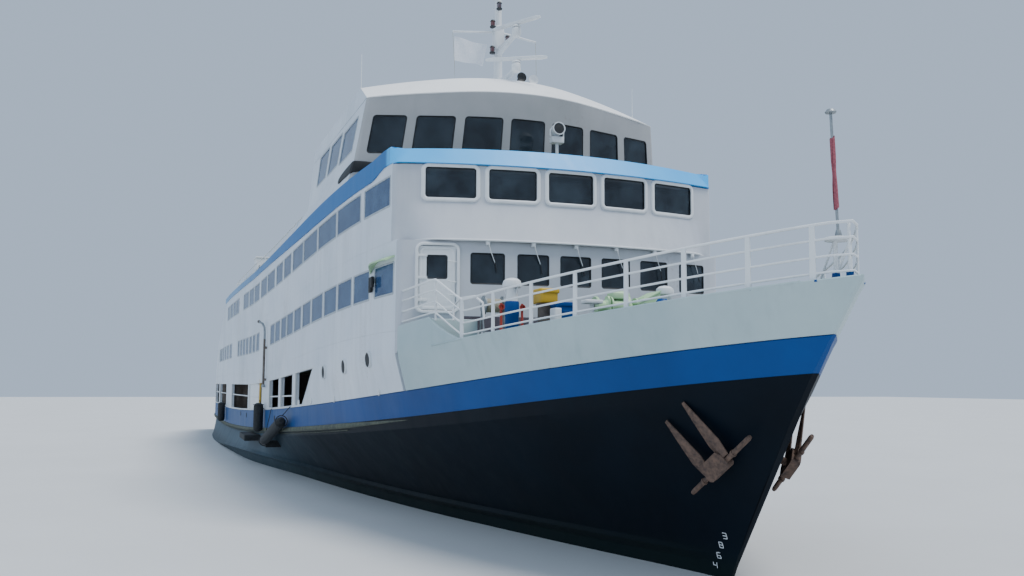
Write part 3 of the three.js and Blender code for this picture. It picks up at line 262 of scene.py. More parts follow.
# Enamel over welded steel plate. The eye gets: a slow drift of tone from many repaints, rain streaks
# that run down the plates, rust freckles, and the shallow hollows that welding leaves between frames
def shipEnamel(name, look):
    material, tree, shader = newMaterial(name)
    place = addNode(tree, "TexCoord").outputs["Object"]
    drift = addNode(tree, "TexNoise", {"Vector": place, "Scale": 0.8, "Detail": 5, "Roughness": 0.6})
    tone = addNode(tree, "ValToRGB", {"Fac": drift.outputs["Fac"]})
    low, high = tone.color_ramp.elements
    low.position, high.position = 0.32, 0.66
    low.color, high.color = toLinear(look["darker"]), toLinear(look["colour"])
    shade = tone.outputs["Color"]
    # streaks about 140 mm wide and 1.6 m long on the model
    tall = addNode(tree, "Mapping", {"Vector": place, "Scale": (7, 7, 0.6)})
    run = addNode(tree, "TexNoise", {"Vector": tall.outputs["Vector"], "Scale": 1.0, "Detail": 4,
                                     "Roughness": 0.65})
    patch = addNode(tree, "TexNoise", {"Vector": place, "Scale": 0.5, "Detail": 2})
    wet = addNode(tree, "Math", {0: run.outputs["Fac"], 1: patch.outputs["Fac"]}, operation="MULTIPLY")
    wash = addNode(tree, "MapRange", {"Value": wet.outputs[0], "From Min": 0.24, "From Max": 0.4,
                                      "To Max": look.get("streaks", 0.3)})
    shade = addNode(tree, "Mix", {0: wash.outputs[0], 6: shade, 7: toLinear(look.get("streakColour", "#8d9496"))},
                    data_type="RGBA").outputs[2]
    # tone that changes along the ship or upwards
    for start, end, axis, colour, amount in look.get("fades", ()):
        part = addNode(tree, "SeparateXYZ", {"Vector": place}).outputs[axis]
        ragged = addNode(tree, "Math", {0: drift.outputs["Fac"], 1: abs(end - start) * 0.7, 2: part},
                         operation="MULTIPLY_ADD").outputs[0]
        mask = addNode(tree, "MapRange", {"Value": ragged, "From Min": start + abs(end - start) * 0.35,
                                          "From Max": end + abs(end - start) * 0.35, "To Max": amount},
                       interpolation_type="SMOOTHSTEP").outputs[0]
        shade = addNode(tree, "Mix", {0: mask, 6: shade, 7: toLinear(colour)}, data_type="RGBA").outputs[2]
    if look.get("rust"):
        fleck = addNode(tree, "TexNoise", {"Vector": place, "Scale": 26, "Detail": 6, "Roughness": 0.7})
        spots = addNode(tree, "Math", {0: fleck.outputs["Fac"], 1: patch.outputs["Fac"]}, operation="MULTIPLY")
        bare = addNode(tree, "MapRange", {"Value": spots.outputs[0], "From Min": 0.37, "From Max": 0.42,
                                          "To Max": look["rust"]})
        shade = addNode(tree, "Mix", {0: bare.outputs[0], 6: shade, 7: toLinear("#7a4a2e")},
                        data_type="RGBA").outputs[2]
    tree.links.new(shade, shader.inputs["Base Color"])
    shader.inputs["Specular IOR Level"].default_value = look.get("shine", 0.4)
    gloss = look.get("roughness", 0.4)
    sheen = addNode(tree, "MapRange", {"Value": run.outputs["Fac"], "To Min": gloss - 0.06, "To Max": gloss + 0.12})
    tree.links.new(sheen.outputs[0], shader.inputs["Roughness"])
    hollow = addNode(tree, "TexNoise", {"Vector": place, "Scale": look.get("hollowScale", 1.3), "Detail": 1})
    plate = addNode(tree, "Bump", {"Height": hollow.outputs["Fac"], "Strength": look.get("hollows", 0.3),
                                   "Distance": 0.05})
    peel = addNode(tree, "TexNoise", {"Vector": place, "Scale": 90, "Detail": 2})
    skin = addNode(tree, "Bump", {"Height": peel.outputs["Fac"], "Strength": 0.05, "Distance": 0.002,
                                  "Normal": plate.outputs["Normal"]})
    tree.links.new(skin.outputs["Normal"], shader.inputs["Normal"])
    return material


# A plain finish with grain of its own: rubber, cast iron, galvanised steel, deck paint, bronze
def grainFinish(name, look):
    material, tree, shader = newMaterial(name)
    place = addNode(tree, "TexCoord").outputs["Object"]
    grain = addNode(tree, "TexNoise", {"Vector": place, "Scale": look["scale"], "Detail": 6, "Roughness": 0.65})
    tone = addNode(tree, "ValToRGB", {"Fac": grain.outputs["Fac"]})
    low, high = tone.color_ramp.elements
    low.position, high.position = 0.36, 0.64
    low.color, high.color = toLinear(look["darker"]), toLinear(look["colour"])
    tree.links.new(tone.outputs["Color"], shader.inputs["Base Color"])
    rough = addNode(tree, "MapRange", {"Value": grain.outputs["Fac"], "To Min": look["roughness"] - 0.1,
                                       "To Max": look["roughness"] + 0.12})
    tree.links.new(rough.outputs[0], shader.inputs["Roughness"])
    shader.inputs["Metallic"].default_value = look.get("metallic", 0.0)
    bump = addNode(tree, "Bump", {"Height": grain.outputs["Fac"], "Strength": look.get("bump", 0.3),
                                  "Distance": look.get("depth", 0.004)})
    tree.links.new(bump.outputs["Normal"], shader.inputs["Normal"])
    return material


# Toughened float glass with a tint: nearly black against white paint, glossy, and a little of the room
# behind shows through; a faint film of salt breaks the gloss, and where the film's colour is a pale blue it is a
# painted sky reflection
def tintedGlass(name, colour, solid, coat=0.6, specular=0.5, filmAndReflection="#4a5560"):
    material, tree, shader = newMaterial(name)
    place = addNode(tree, "TexCoord").outputs["Object"]
    haze = addNode(tree, "TexNoise", {"Vector": place, "Scale": 3.0, "Detail": 5, "Roughness": 0.6})
    tone = addNode(tree, "ValToRGB", {"Fac": haze.outputs["Fac"]})
    low, high = tone.color_ramp.elements
    low.position, high.position = 0.35, 0.7
    low.color, high.color = toLinear(colour), toLinear(filmAndReflection)
    tree.links.new(tone.outputs["Color"], shader.inputs["Base Color"])
    salt = addNode(tree, "MapRange", {"Value": haze.outputs["Fac"], "To Min": 0.02, "To Max": 0.16})
    tree.links.new(salt.outputs[0], shader.inputs["Roughness"])
    shader.inputs["Alpha"].default_value = solid
    shader.inputs["Coat Weight"].default_value = coat
    shader.inputs["Specular IOR Level"].default_value = specular
    return material


paints = dict(
    white=shipEnamel("whiteMarineEnamel", dict(colour="#dfe5ec", darker="#ccd5df", streaks=0.16, rust=0.25,
                                               roughness=0.38, hollows=0.3)),
    gear=shipEnamel("whiteBrushedEnamel", dict(colour="#e8ebed", darker="#d9dde0", streaks=0.2, rust=0.2,
                                               roughness=0.4, hollows=0.0)),
    hullBlack=shipEnamel("blackHullEnamel", dict(
        colour="#03101c", darker="#020a14", streaks=0.14, streakColour="#14262d", roughness=0.5, shine=0.12,
        hollows=0.4, fades=[(6.4, 0.0, "X", "#4c5f6b", 0.85), (0.35, 0.05, "Z", "#12231f", 0.5)])),
    # The strake pales towards the aft: partly faded paint, partly painted light where the shell's shape changes at
    # the flare
    blue=shipEnamel("royalBlueEnamel", dict(
        colour="#004688", darker="#003c78", streaks=0.14, streakColour="#0c508e", roughness=0.45, shine=0.2,
        hollows=0.4, fades=[(8.0, 0.0, "X", "#1c5284", 0.6)])),
    bow=shipEnamel("paleGreyGreenEnamel", dict(colour="#b4c6c8", darker="#a3b8bc", streaks=0.4, rust=0.2,
                                               streakColour="#8ba0a4", roughness=0.4, hollows=0.5)),
    # The band is light sky blue across its front and deep blue along its sides, paling aft; the sides' deep blue is
    # partly deeper paint and partly painted shade
    sky=shipEnamel("skyBlueEnamel", dict(colour="#3cb2f6", darker="#30a8f0", streaks=0.12, streakColour="#6cc4f6",
                                         roughness=0.4, hollows=0.3, fades=[(10.0, 9.9, "X", "#1568a8", 1.0),
                                                                            (5.0, -7.0, "X", "#7ea8cc", 0.8)])),
    deck=grainFinish("deckPaintGreen", dict(colour="#5d6a66", darker="#4a5652", scale=14, roughness=0.75)),
    iron=grainFinish("rustyForgedIron", dict(colour="#6b5548", darker="#3c2f2a", scale=18, roughness=0.75,
                                             bump=0.8, depth=0.01)),
    rubber=grainFinish("blackMouldedRubber", dict(colour="#26292c", darker="#16181a", scale=22, roughness=0.72)),
    gasket=grainFinish("windowGasket", dict(colour="#1d2125", darker="#121518", scale=30, roughness=0.6)),
    steel=grainFinish("galvanisedSteel", dict(colour="#9aa1a5", darker="#868d92", scale=20, roughness=0.45,
                                              metallic=0.7)),
    strip=grainFinish("weatheredRubStrip", dict(colour="#5f6455", darker="#3c423c", scale=9, roughness=0.8)),
    aluminium=grainFinish("brushedAluminium", dict(colour="#b9c0c6", darker="#a3abb2", scale=30, roughness=0.42,
                                                   metallic=0.3, bump=0.1)),
    # The fronts: the same white paint as the sides, made greyer; the grey is painted shade on walls that get less
    # light
    front=shipEnamel("shadedWhiteFrontEnamel", dict(colour="#c6cad0", darker="#b8bdc6", streaks=0.16, rust=0.25,
                                              roughness=0.45, shine=0.25, hollows=0.3)),
    # The wheelhouse front, greyer still: painted shade on a wall that leans out and faces a little downwards
    wheelFront=shipEnamel("shadedWheelhouseFrontEnamel", dict(colour="#b0b1b3", darker="#a0a2a4", streaks=0.16, rust=0.2,
                                                    roughness=0.45, hollows=0.3)),
    # The fascia: the same white as the roof, made brighter; the brightness is a painted highlight on the sloping
    # face that catches the light
    fascia=shipEnamel("highlightFasciaEnamel", dict(colour="#fcfcfb", darker="#f6f6f5", streaks=0.1, roughness=0.4,
                                                 hollows=0.1)),
    footBand=grainFinish("darkFootBandFinish", dict(colour="#5b5560", darker="#4a444c", scale=8, roughness=0.6)),
    redDeck=grainFinish("redOxideDeckPaint", dict(colour="#6e3f34", darker="#4e2c26", scale=6, roughness=0.7)),
    roofPaint=grainFinish("greenDeckLining", dict(colour="#6c735f", darker="#565d4c", scale=5, roughness=0.7)),
    darkGear=grainFinish("blackGearEnamel", dict(colour="#22262a", darker="#14171a", scale=16, roughness=0.5)),
    redGear=shipEnamel("redLeadEnamel", dict(colour="#a2382c", darker="#842a22", streaks=0.3, rust=0.6,
                                             hollows=0.0)),
    drum=grainFinish("fadedDrumEnamel", dict(colour="#6f655d", darker="#574e48", scale=10,
                                                 roughness=0.6)),
    rope=grainFinish("polypropyleneRope", dict(colour="#b8b3a0", darker="#8e8975", scale=70, roughness=0.8,
                                               bump=0.7)),
    lens=tintedGlass("lampGlass", "#5e2422", 1.0),
    glass=tintedGlass("tintedWindowGlass", "#141c24", 0.8, 0.35, 0.4, "#38444e"),
    # The side glass: its blue is partly tint and partly painted sky reflection, and its paler blue patches are
    # painted reflection
    tintAndReflectionSideGlass=tintedGlass("blueTintAndSkyReflectionGlass", "#27456c", 0.9, 0.0, 0.3, "#466488"),
    bronze=grainFinish("castBronze", dict(colour="#a9804a", darker="#7c5a33", scale=12, roughness=0.35,
                                          metallic=0.95)),
    green=shipEnamel("paleGreenEnamel", dict(colour="#b9dcae", darker="#a4cc9b", streaks=0.3, rust=0.5)),
    yellow=shipEnamel("yellowEnamel", dict(colour="#d9b02c", darker="#c79c22", streaks=0.3, rust=0.5)),
    red=grainFinish("redBunting", dict(colour="#a65a64", darker="#80404c", scale=60, roughness=0.85)),
    cloth=grainFinish("whiteBunting", dict(colour="#f4f6fa", darker="#dfe4ec", scale=60, roughness=0.85)),
)
print("materials ready")


# The shell of the ship. Lines that run along it are smooth curves through short tables


# Curve through a table of (x, value): cubic pieces whose slope at a row is that between its neighbours
def curveOf(table):
    xs, ys = np.array(table, float).T
    rows = np.arange(len(xs))
    before, after = np.maximum(rows - 1, 0), np.minimum(rows + 1, len(xs) - 1)
    slopes = (ys[after] - ys[before]) / (xs[after] - xs[before])

    def value(x):
        x = np.clip(np.asarray(x, float), xs[0], xs[-1])
        i = np.clip(np.searchsorted(xs, x, side="right") - 1, 0, len(xs) - 2)
        h = xs[i + 1] - xs[i]
        t = (x - xs[i]) / h
        return ((2 * t**3 - 3 * t**2 + 1) * ys[i] + (t**3 - 2 * t**2 + t) * h * slopes[i]
                + (3 * t**2 - 2 * t**3) * ys[i + 1] + (t**3 - t**2) * h * slopes[i + 1])
    return value


hullShape = dict(
    stemAtWater=28.3, stemHead=32.0, strakeTop=2.09, strakeHeight=0.83, plating=0.9,
    side=[(-32, 6.2), (-29, 6.4), (-24, 6.5), (-14.5, 6.5), (-8.5, 6.36), (-1.5, 6.1), (3.5, 5.86), (9.5, 5.5),
          (13.5, 5.24), (16.5, 4.99), (19, 4.71), (20.8, 4.46), (23.5, 3.9), (26.5, 3.0), (29.5, 1.7),
          (31.2, 0.68), (32, 0.03)],
    # position, keel height, half breadth of the floor, under the ledge, at the ledge, ledge height
    sections=[(-32, -0.45, 4.4, 6.0, 6.15, -0.1), (-28, -0.7, 4.5, 6.4, 6.6, -0.08),
              (-22, -1.35, 4.7, 6.65, 6.85, -0.03),
              (-15, -2.2, 5.0, 6.7, 6.83, 0.06), (-8, -2.5, 5.0, 6.5, 6.65, 0.3), (-2, -2.5, 4.6, 6.15, 6.36, 0.46),
              (2, -2.5, 4.1, 5.6, 5.85, 0.47), (6, -2.5, 3.5, 4.9, 5.02, 0.42), (10, -2.5, 2.8, 4.3, 4.4, 0.4),
              (14, -2.5, 2.1, 3.62, 3.8, 0.4), (18, -2.5, 1.35, 2.8, 3.0, 0.4), (21, -2.4, 0.85, 2.05, 2.25, 0.4),
              (24, -2.2, 0.4, 1.25, 1.4, 0.4), (26.5, -1.9, 0.12, 0.52, 0.62, 0.4),
              (28.3, -1.45, 0.03, 0.03, 0.04, 0.4)],
)
sideHalf = curveOf(hullShape["side"])
keelAt, floorHalf, underHalf, ledgeHalf, ledgeAt = [
    curveOf([(row[0], row[k]) for row in hullShape["sections"]]) for k in range(1, 6)]


def smooth(x, low, high):
    t = np.clip((np.asarray(x, float) - low) / (high - low), 0, 1)
    return t * t * (3 - 2 * t)


def houseSheer(x):
    return 0.87 * smooth(x, -3, 21)


# The blue strake lifts a little more towards the stem than the plating's top does
def bowLift(x):
    return 0.1 * smooth(x, 20, 31.5)


def strakeTopAt(x):
    return hullShape["strakeTop"] + 0.00103 * np.maximum(0, np.asarray(x, float) + 13.5) ** 2 + bowLift(x)


def strakeFootAt(x):
    return strakeTopAt(x) - hullShape["strakeHeight"] + 0.0062 * np.maximum(0, np.asarray(x, float) + 13.5)


def platingTopAt(x):
    return strakeTopAt(x) - bowLift(x) + hullShape["plating"]


# The wing beside the house falls in a hollow curve to the plating's top
def edgeTopAt(x):
    left = np.clip((23.9 - np.asarray(x, float)) / 1.5, 0, 1)
    return platingTopAt(x) + 0.66 * left ** 1.35


# How far each height of the stem stands ahead of the stem at the water
def stemReach(z):
    z = np.asarray(z, float)
    return np.where(z >= 0, 0.6 * z + 0.0256 * z * z, 0.55 * z)


# Half breadth of the shell: full at the plating's top, drawn in below it and pushed aft by the stem's rake
def shellHalf(x, z):
    head = platingTopAt(x)
    drop = np.clip((head - z) / (head - strakeFootAt(x) + bowLift(x)), 0, 1)
    stemTop = np.minimum(hullShape["stemHead"], hullShape["stemAtWater"] + stemReach(head))
    stemHere = np.minimum(hullShape["stemHead"], hullShape["stemAtWater"] + stemReach(z))
    push = np.maximum(0, stemTop - stemHere) * np.clip((x - 8) / (stemHere - 8), 0, 1) ** 2
    return sideHalf(x + push) * (1 - 0.14 * drop * np.clip((x - 10) / 20, 0, 1))


# Stations lean forward towards the stem
def leaning(x, z):
    share = np.clip((x - 8) / (hullShape["stemAtWater"] - 8), 0, 1)
    return np.minimum(hullShape["stemHead"], x + stemReach(z) * share * share)


def meet(x, heightOf):
    z = heightOf(x)
    for _ in range(6):
        z = heightOf(leaning(x, z))
    return leaning(x, z), z


stations = np.concatenate([np.linspace(-32, 8, 61), np.linspace(8, 28.3, 111)[1:]])


# Rows from the sheer strake's foot round the keel, station by station; between knuckles the plate is straight
def hullPart():
    x = stations
    footX, foot = meet(x, strakeFootAt)
    keel, ledge = keelAt(x), ledgeAt(x)
    knuckles = [(0 * x, keel - 0.02), (floorHalf(x), keel), (underHalf(x) * 0.93, keel * 0.55 + ledge * 0.45),
                (underHalf(x), ledge - 0.15), (ledgeHalf(x), ledge), (ledgeHalf(x) * 0.985, ledge + 0.1),
                (shellHalf(footX, foot) * 0.985, foot - 0.28), (shellHalf(footX, foot), foot)]
    cuts = [1, 4, 4, 2, 2, 14, 4]
    half = []
    for (y0, z0), (y1, z1), n in zip(knuckles, knuckles[1:], cuts):
        for t in np.arange(n) / n:
            half.append((y0 + (y1 - y0) * t, z0 + (z1 - z0) * t))
    half.append(knuckles[-1])
    y, z = np.array([h[0] for h in half]).T, np.array([h[1] for h in half]).T
    xs = leaning(x[:, None], z)
    port = np.stack([xs, y, z], -1)
    return loft(np.concatenate([port[:, ::-1], port[:, 1:] * (1, -1, 1)], 1))


# A band of side plating from the stern round the stem and back: foot and top are heights along the ship
def platingBand(xs, foot, top, thick, aftEnd, rows=7):
    x0, z0 = meet(xs, foot)
    x1, z1 = meet(xs, top)
    share = np.linspace(0, 1, rows)
    z = z0[:, None] + (z1 - z0)[:, None] * share
    x = np.maximum(leaning(xs[:, None], z), aftEnd)
    y = shellHalf(x, z)
    lip = 0.02
    outer = np.stack([x, y, z], -1)
    inner = np.stack([x, np.maximum(y - thick, 0), z], -1)
    outer[:, -1, 2] -= lip
    inner[:, -1, 2] -= lip
    crest = [np.stack([x[:, -1], np.maximum(y[:, -1] - thick * t, 0), z[:, -1]], -1)[:, None] for t in (0.2, 0.8)]
    ring = np.concatenate([outer, *crest, inner[:, ::-1]], 1)
    return np.concatenate([ring * (1, -1, 1), ring[::-1]])


def sidePath(side, x0, x1, heightOf, out=0.0, count=80):
    x = np.linspace(x0, x1, count)
    z = heightOf(x)
    return np.stack([x, side * (shellHalf(x, z) + out), z], 1)


def bandFootAt(x):
    return 7.93 + houseSheer(x) + 0.27 * (1 - smooth(x, 0, 15)) + 0.18 * smooth(x, 18.6, 19.8)


def bandTopAt(x):
    return 8.48 + houseSheer(x) + 0.07 * smooth(x, 18.6, 19.8)


# Half breadth of the hull at a place between the ledge and the strake's foot
def hullHalfAt(x, z):
    row = np.linspace(8, 28.3, 800)
    station = row[np.argmin(np.abs(leaning(row, z) - x))]
    footX, foot = meet(station, strakeFootAt)
    heights = [ledgeAt(station), ledgeAt(station) + 0.1, foot - 0.28, foot]
    breadths = [ledgeHalf(station), ledgeHalf(station) * 0.985, shellHalf(footX, foot) * 0.985,
                shellHalf(footX, foot)]
    return float(np.interp(z, heights, breadths))


piece("hull_shell", [hullPart()], paints["hullBlack"], replaces="hull", sharp=18)
piece(
    "strake_plating",
    [closedPart(*welded(*loft(platingBand(np.append(stations[stations > -31.7], 28.3)[:-1],
                                          lambda x: strakeFootAt(x) + 0.003, strakeTopAt, 0.14, -31.8)))),
     block((-31.8, -6.1, 1.263), (-31.66, 6.1, 2.09), 0.02, 0.01)],
    paints["blue"], replaces=("strake_stern", "strake_starboard", "strake_port", "strake_bow"))

foreDeck = dict(aft=20.753, fore=31.3, plating=0.09)
foreStations = stations[stations > 19.0]


# Deck inside the plating: straight across, a little under the plating's top
def deckSlab(x0, x1, topAt, inset, thick=0.1, rows=60):
    x = np.linspace(x0, x1, rows)
    top = topAt(x)
    across = np.linspace(-1, 1, 13)
    half = np.maximum(shellHalf(x, top) - inset, 0.02)
    upper = np.stack([np.broadcast_to(x[:, None], (rows, 13)), half[:, None] * across,
                      np.broadcast_to(top[:, None], (rows, 13))], -1)
    return loft(np.concatenate([upper, (upper - (0, 0, thick))[:, ::-1]], 1))


piece("forecastle_plating",
      [[closedPart(*welded(*loft(platingBand(foreStations, lambda x: strakeTopAt(x) + 0.003, edgeTopAt,
                                             foreDeck["plating"], foreDeck["aft"], 9)))),
        block((21.2, -4.1, 4.1), (22.4, -2.95, 4.95), 0.03, 0.02)],
       [deckSlab(foreDeck["aft"], foreDeck["fore"], lambda x: platingTopAt(x) - 0.03, foreDeck["plating"] + 0.01)]],
      [paints["bow"], paints["deck"]], replaces="forecastle")
piece("main_deck_covering", [deckSlab(-31.5, 20.6, lambda x: strakeFootAt(x) + 0.02, 0.16, 0.012)],
      paints["redDeck"])

# Rubbing strip under the strake: a worn half-round, with a pale line painted below it
stripProfile = [(-0.04, -0.08), (0.035, -0.075), (0.06, -0.04), (0.065, 0.0), (0.06, 0.04), (0.035, 0.075),
                (-0.04, 0.08)]
stripEnds = -31.6, 21.5
taper = 1 - 0.9 * smooth(np.linspace(*stripEnds, 140), 15.0, 21.5)  # it thins out to nothing before the bow
piece("rub_strip", [sweep(sidePath(side, *stripEnds, lambda x: strakeFootAt(x) - 0.07, -0.03 * smooth(
    np.linspace(*stripEnds, 140), 15.0, 21.5), 140), stripProfile, scale=taper) for side in (-1, 1)],
      paints["strip"])
piece("strip_line", [tube(sidePath(side, -31.5, 16.0, lambda x: strakeFootAt(x) - 0.2, -0.03), 0.014, 8)
                     for side in (-1, 1)], paints["strip"])
edgeRolls = [tube(sidePath(side, 22.6, 31.3, lambda x: platingTopAt(x) - 0.005, -0.01), 0.02, 8)
             for side in (-1, 1)]
piece("plating_edge_bars", edgeRolls, paints["bow"])

# Draft marks: plain white numerals of straight strokes, a tenth of a metre high, down both sides of the stem
strokes = dict(a=((0, 1), (1, 1)), b=((1, 1), (1, 0.5)), c=((1, 0.5), (1, 0)), d=((0, 0), (1, 0)),
               e=((0, 0.5), (0, 0)), f=((0, 1), (0, 0.5)), g=((0, 0.5), (1, 0.5)))
numerals = {"2": "abged", "4": "fgbc", "6": "afgedc", "8": "abcdefg", "3": "abgcd"}
draftMarks = [("3", 28.36, 0.74), ("8", 28.22, 0.56), ("6", 28.12, 0.36), ("4", 28.0, 0.17)]
marks = []
for side in (-1, 1):
    for sign, x, z in draftMarks:
        for key in numerals[sign]:
            ends = []
            for u, v in strokes[key]:
                px, pz = x + u * 0.075, z + v * 0.1
                ends.append((px, side * (hullHalfAt(px, pz) + 0.006), pz))
            marks.append(tube(ends, 0.007, 6, above=(0, 1, 0)))
piece("draft_marks", marks, paints["gear"])
print("hull ready")


# Walls with windows. A wall is a sheet over (u, v) with round-cornered holes, then given its thickness


# Wall through a mapping of (u, v, depth): cells of a grid, and rings that tie each hole to the cells round it
def piercedWall(at, uEnds, vRows, holes, tileRows, thick, vUnit=1.0, uStep=0.5, rake=None):
    perSide = 12
    us = [uEnds[0]]
    holes = sorted(holes, key=lambda h: h["u0"])
    tiles = []
    for k, hole in enumerate(holes):
        left = us[-1] if k == 0 else (holes[k - 1]["u1"] + hole["u0"]) / 2
        right = uEnds[1] if k == len(holes) - 1 else (hole["u1"] + holes[k + 1]["u0"]) / 2
        left, right = max(left, hole["u0"] - 0.15), min(right, hole["u1"] + 0.15)
        if left - us[-1] > 1e-6:
            n = max(1, math.ceil((left - us[-1]) / uStep))
            us += list(np.linspace(us[-1], left, n + 1)[1:])
        tiles.append((len(us) - 1, hole))
        us += list(np.linspace(left, right, perSide + 1)[1:])
    if uEnds[1] - us[-1] > 1e-6:
        n = max(1, math.ceil((uEnds[1] - us[-1]) / uStep))
        us += list(np.linspace(us[-1], uEnds[1], n + 1)[1:])
    low, high = tileRows
    below, above = [v for v in vRows if v < low - 1e-9], [v for v in vRows if v > high + 1e-9]
    vs = below + list(np.linspace(low, high, perSide + 1)) + above
    v0 = len(below)
    us, vs = np.array(us), np.array(vs)
    cols = len(vs)
    flat = np.stack(np.meshgrid(us, vs, indexing="ij"), -1).reshape(-1, 2)
    keep = np.ones((len(us) - 1, cols - 1), bool)
    rings, faces = [], []
    start = len(flat)
    for i0, hole in tiles:
        keep[i0:i0 + perSide, v0:v0 + perSide] = False
        side = np.arange(perSide)
        edge = np.concatenate([(i0 + side) * cols + v0, (i0 + perSide) * cols + v0 + side,
                               (i0 + perSide - side) * cols + v0 + perSide, i0 * cols + v0 + perSide - side])
        ring = holeRing(hole, vUnit, 0.0, perSide)
        rings.append(ring)
        inner = start + np.arange(len(ring))
        start += len(ring)
        nxt = np.roll(np.arange(len(ring)), -1)
        faces.append(np.stack([edge, edge[nxt], inner[nxt], inner], 1))
    i, j = np.nonzero(keep)
    faces.append(np.stack([i * cols + j, (i + 1) * cols + j, (i + 1) * cols + j + 1, i * cols + j + 1], 1))
    faces = np.concatenate(faces)
    flat = np.concatenate([flat, *rings]) if rings else flat
    used, back = np.unique(faces, return_inverse=True)
    faces, flat = back.reshape(faces.shape), flat[used]
    if rake is not None:
        flat = rake(flat)
    outer, inner = at(flat[:, 0], flat[:, 1], 0.0), at(flat[:, 0], flat[:, 1], thick)
    n = len(flat)
    a, b = faces.reshape(-1), np.roll(faces, -1, 1).reshape(-1)
    pairs = set(zip(b.tolist(), a.tolist()))
    rim = [[q, p, p + n, q + n] for p, q in zip(a.tolist(), b.tolist()) if (p, q) not in pairs]
    return closedPart(np.concatenate([outer, inner]), faces.tolist() + (faces[:, ::-1] + n).tolist() + rim)


# Outline of a hole, grown by a width; the foot may stand aft of the head at the fore edge
def holeRing(hole, vUnit, grow, perSide=12):
    ring = roundRing(hole["u0"] - grow, hole["u1"] + grow, hole["v0"] * vUnit - grow, hole["v1"] * vUnit + grow,
                     hole.get("radius", 0.08) + grow, perSide)
    ring[:, 1] /= vUnit
    if hole.get("slope"):
        share = (ring[:, 0] - hole["u0"]) / (hole["u1"] - hole["u0"])
        fall = (hole["v1"] - ring[:, 1]) / (hole["v1"] - hole["v0"])
        ring[:, 0] += hole["slope"] * share * fall
    return ring


# A bead round each hole: a closed profile of (width out from the hole, depth) pairs
def holeFrames(at, holes, profile, vUnit=1.0, perSide=12):
    parts = []
    for hole in holes:
        rows = []
        for width, depth in profile:
            ring = holeRing(hole, vUnit, width, perSide)
            rows.append(at(ring[:, 0], ring[:, 1], depth))
        rows = np.array(rows)
        m, n = rows.shape[:2]
        parts.append(closedPart(rows.reshape(-1, 3), gridFaces(m, n, wrapRows=True, wrapCols=True).tolist()))
    return parts


# A flat pane in each hole, set back by a depth, on the plane of the hole's own middle
def holePanes(at, holes, depth, grow=0.03, vUnit=1.0, thick=0.012):
    def spot(a, b):
        return at(np.array([a]), np.array([b]), depth)[0]

    parts = []
    rng = np.random.default_rng(7)
    for hole in holes:
        u, v = (hole["u0"] + hole["u1"]) / 2, (hole["v0"] + hole["v1"]) / 2
        ring = holeRing(hole, vUnit, grow)
        centre = spot(u, v)
        du = spot(u + 0.2, v) - spot(u - 0.2, v)
        dv = spot(u, v + 0.1 / vUnit) - spot(u, v - 0.1 / vUnit)
        normal = np.cross(du, dv)
        normal /= np.linalg.norm(normal)
        spots = at(ring[:, 0], ring[:, 1], depth)
        lean = rng.normal(0, 0.004, 2)
        off = (spots - centre) @ np.stack([du / np.linalg.norm(du), dv / np.linalg.norm(dv)], 1) @ lean
        spots = spots - ((spots - centre) @ normal - off)[:, None] * normal
        rows = np.array([spots, spots + normal * thick])
        parts.append(loft(rows))
    return parts


# The ship's side: u is the position, v counts the height rows given; y is the shell's half breadth less the depth
def sideMap(side, levels):
    def at(u, v, depth):
        zs = np.stack([np.broadcast_to(level(u), u.shape) for level in levels])
        k = np.clip(np.floor(v).astype(int), 0, len(levels) - 2)
        column = np.arange(len(u))
        z = zs[k, column] + (v - k) * (zs[k + 1, column] - zs[k, column])
        return np.stack([u, side * (shellHalf(u, z) - depth), z], -1)
    return at


deckHeights = dict(two=4.0, three=6.25, roof=7.95)
houseEnds = dict(two=20.6, three=20.24)
mainSide = dict(aft=-31.7, fore=20.6, radius=0.06, openings=[
    dict(u0=9.5, u1=12.45, slope=-1.7), dict(u0=6.6, u1=9.0), dict(u0=3.9, u1=6.2), dict(u0=-2.3, u1=2.0),
    dict(u0=-10.4, u1=-2.6), dict(u0=-20.6, u1=-13.8), dict(u0=-28.6, u1=-21.4)])
deckTwoSide = dict(aft=-30.4, fore=houseEnds["two"], sill=4.8, head=5.6, radius=0.04, spans=[
    (19.03, 20.46), (17.22, 18.62), (15.55, 17.02), (13.85, 15.39), (12.05, 13.63), (10.53, 11.86), (9.02, 10.27),
    (7.62, 8.8), (6.39, 7.45), (5.06, 6.13), (3.85, 4.87)] + [(-0.18 - i * 1.27, 0.72 - i * 1.27) for i in range(7)]
    + [(-12.45 - i * 2, -11.0 - i * 2) for i in range(6)])
deckThreeSide = dict(aft=-24.4, fore=houseEnds["three"], sill=7.04, head=7.82, radius=0.04, spans=[
    (18.07, 20.14), (15.34, 17.74), (12.81, 15.19), (10.47, 12.64), (8.45, 10.33), (6.68, 8.14), (4.96, 6.4),
    (2.77, 4.57), (0.84, 2.54), (-1.27, 0.34), (-3.17, -1.54), (-5.64, -3.5), (-9.08, -7.7), (-10.73, -9.26),
    (-12.59, -11.03), (-14.79, -12.91)])
# Profiles round the windows: raised steel bead, pressed roll, black rubber gasket, slim aluminium frame
frames = dict(
    bead=[(-0.012, -0.004), (0.03, -0.016), (0.05, -0.012), (0.056, 0.004), (-0.012, 0.05)],
    roll=[(-0.012, -0.03), (0.02, -0.045), (0.06, -0.04), (0.085, -0.015), (0.09, 0.01), (-0.012, 0.05)],
    gasket=[(-0.03, 0.012), (-0.008, -0.002), (0.002, 0.002), (0.002, 0.06), (-0.03, 0.06)],
    slim=[(-0.035, 0.0), (-0.03, -0.008), (0.012, -0.014), (0.02, -0.004), (0.006, 0.05), (-0.035, 0.05)])


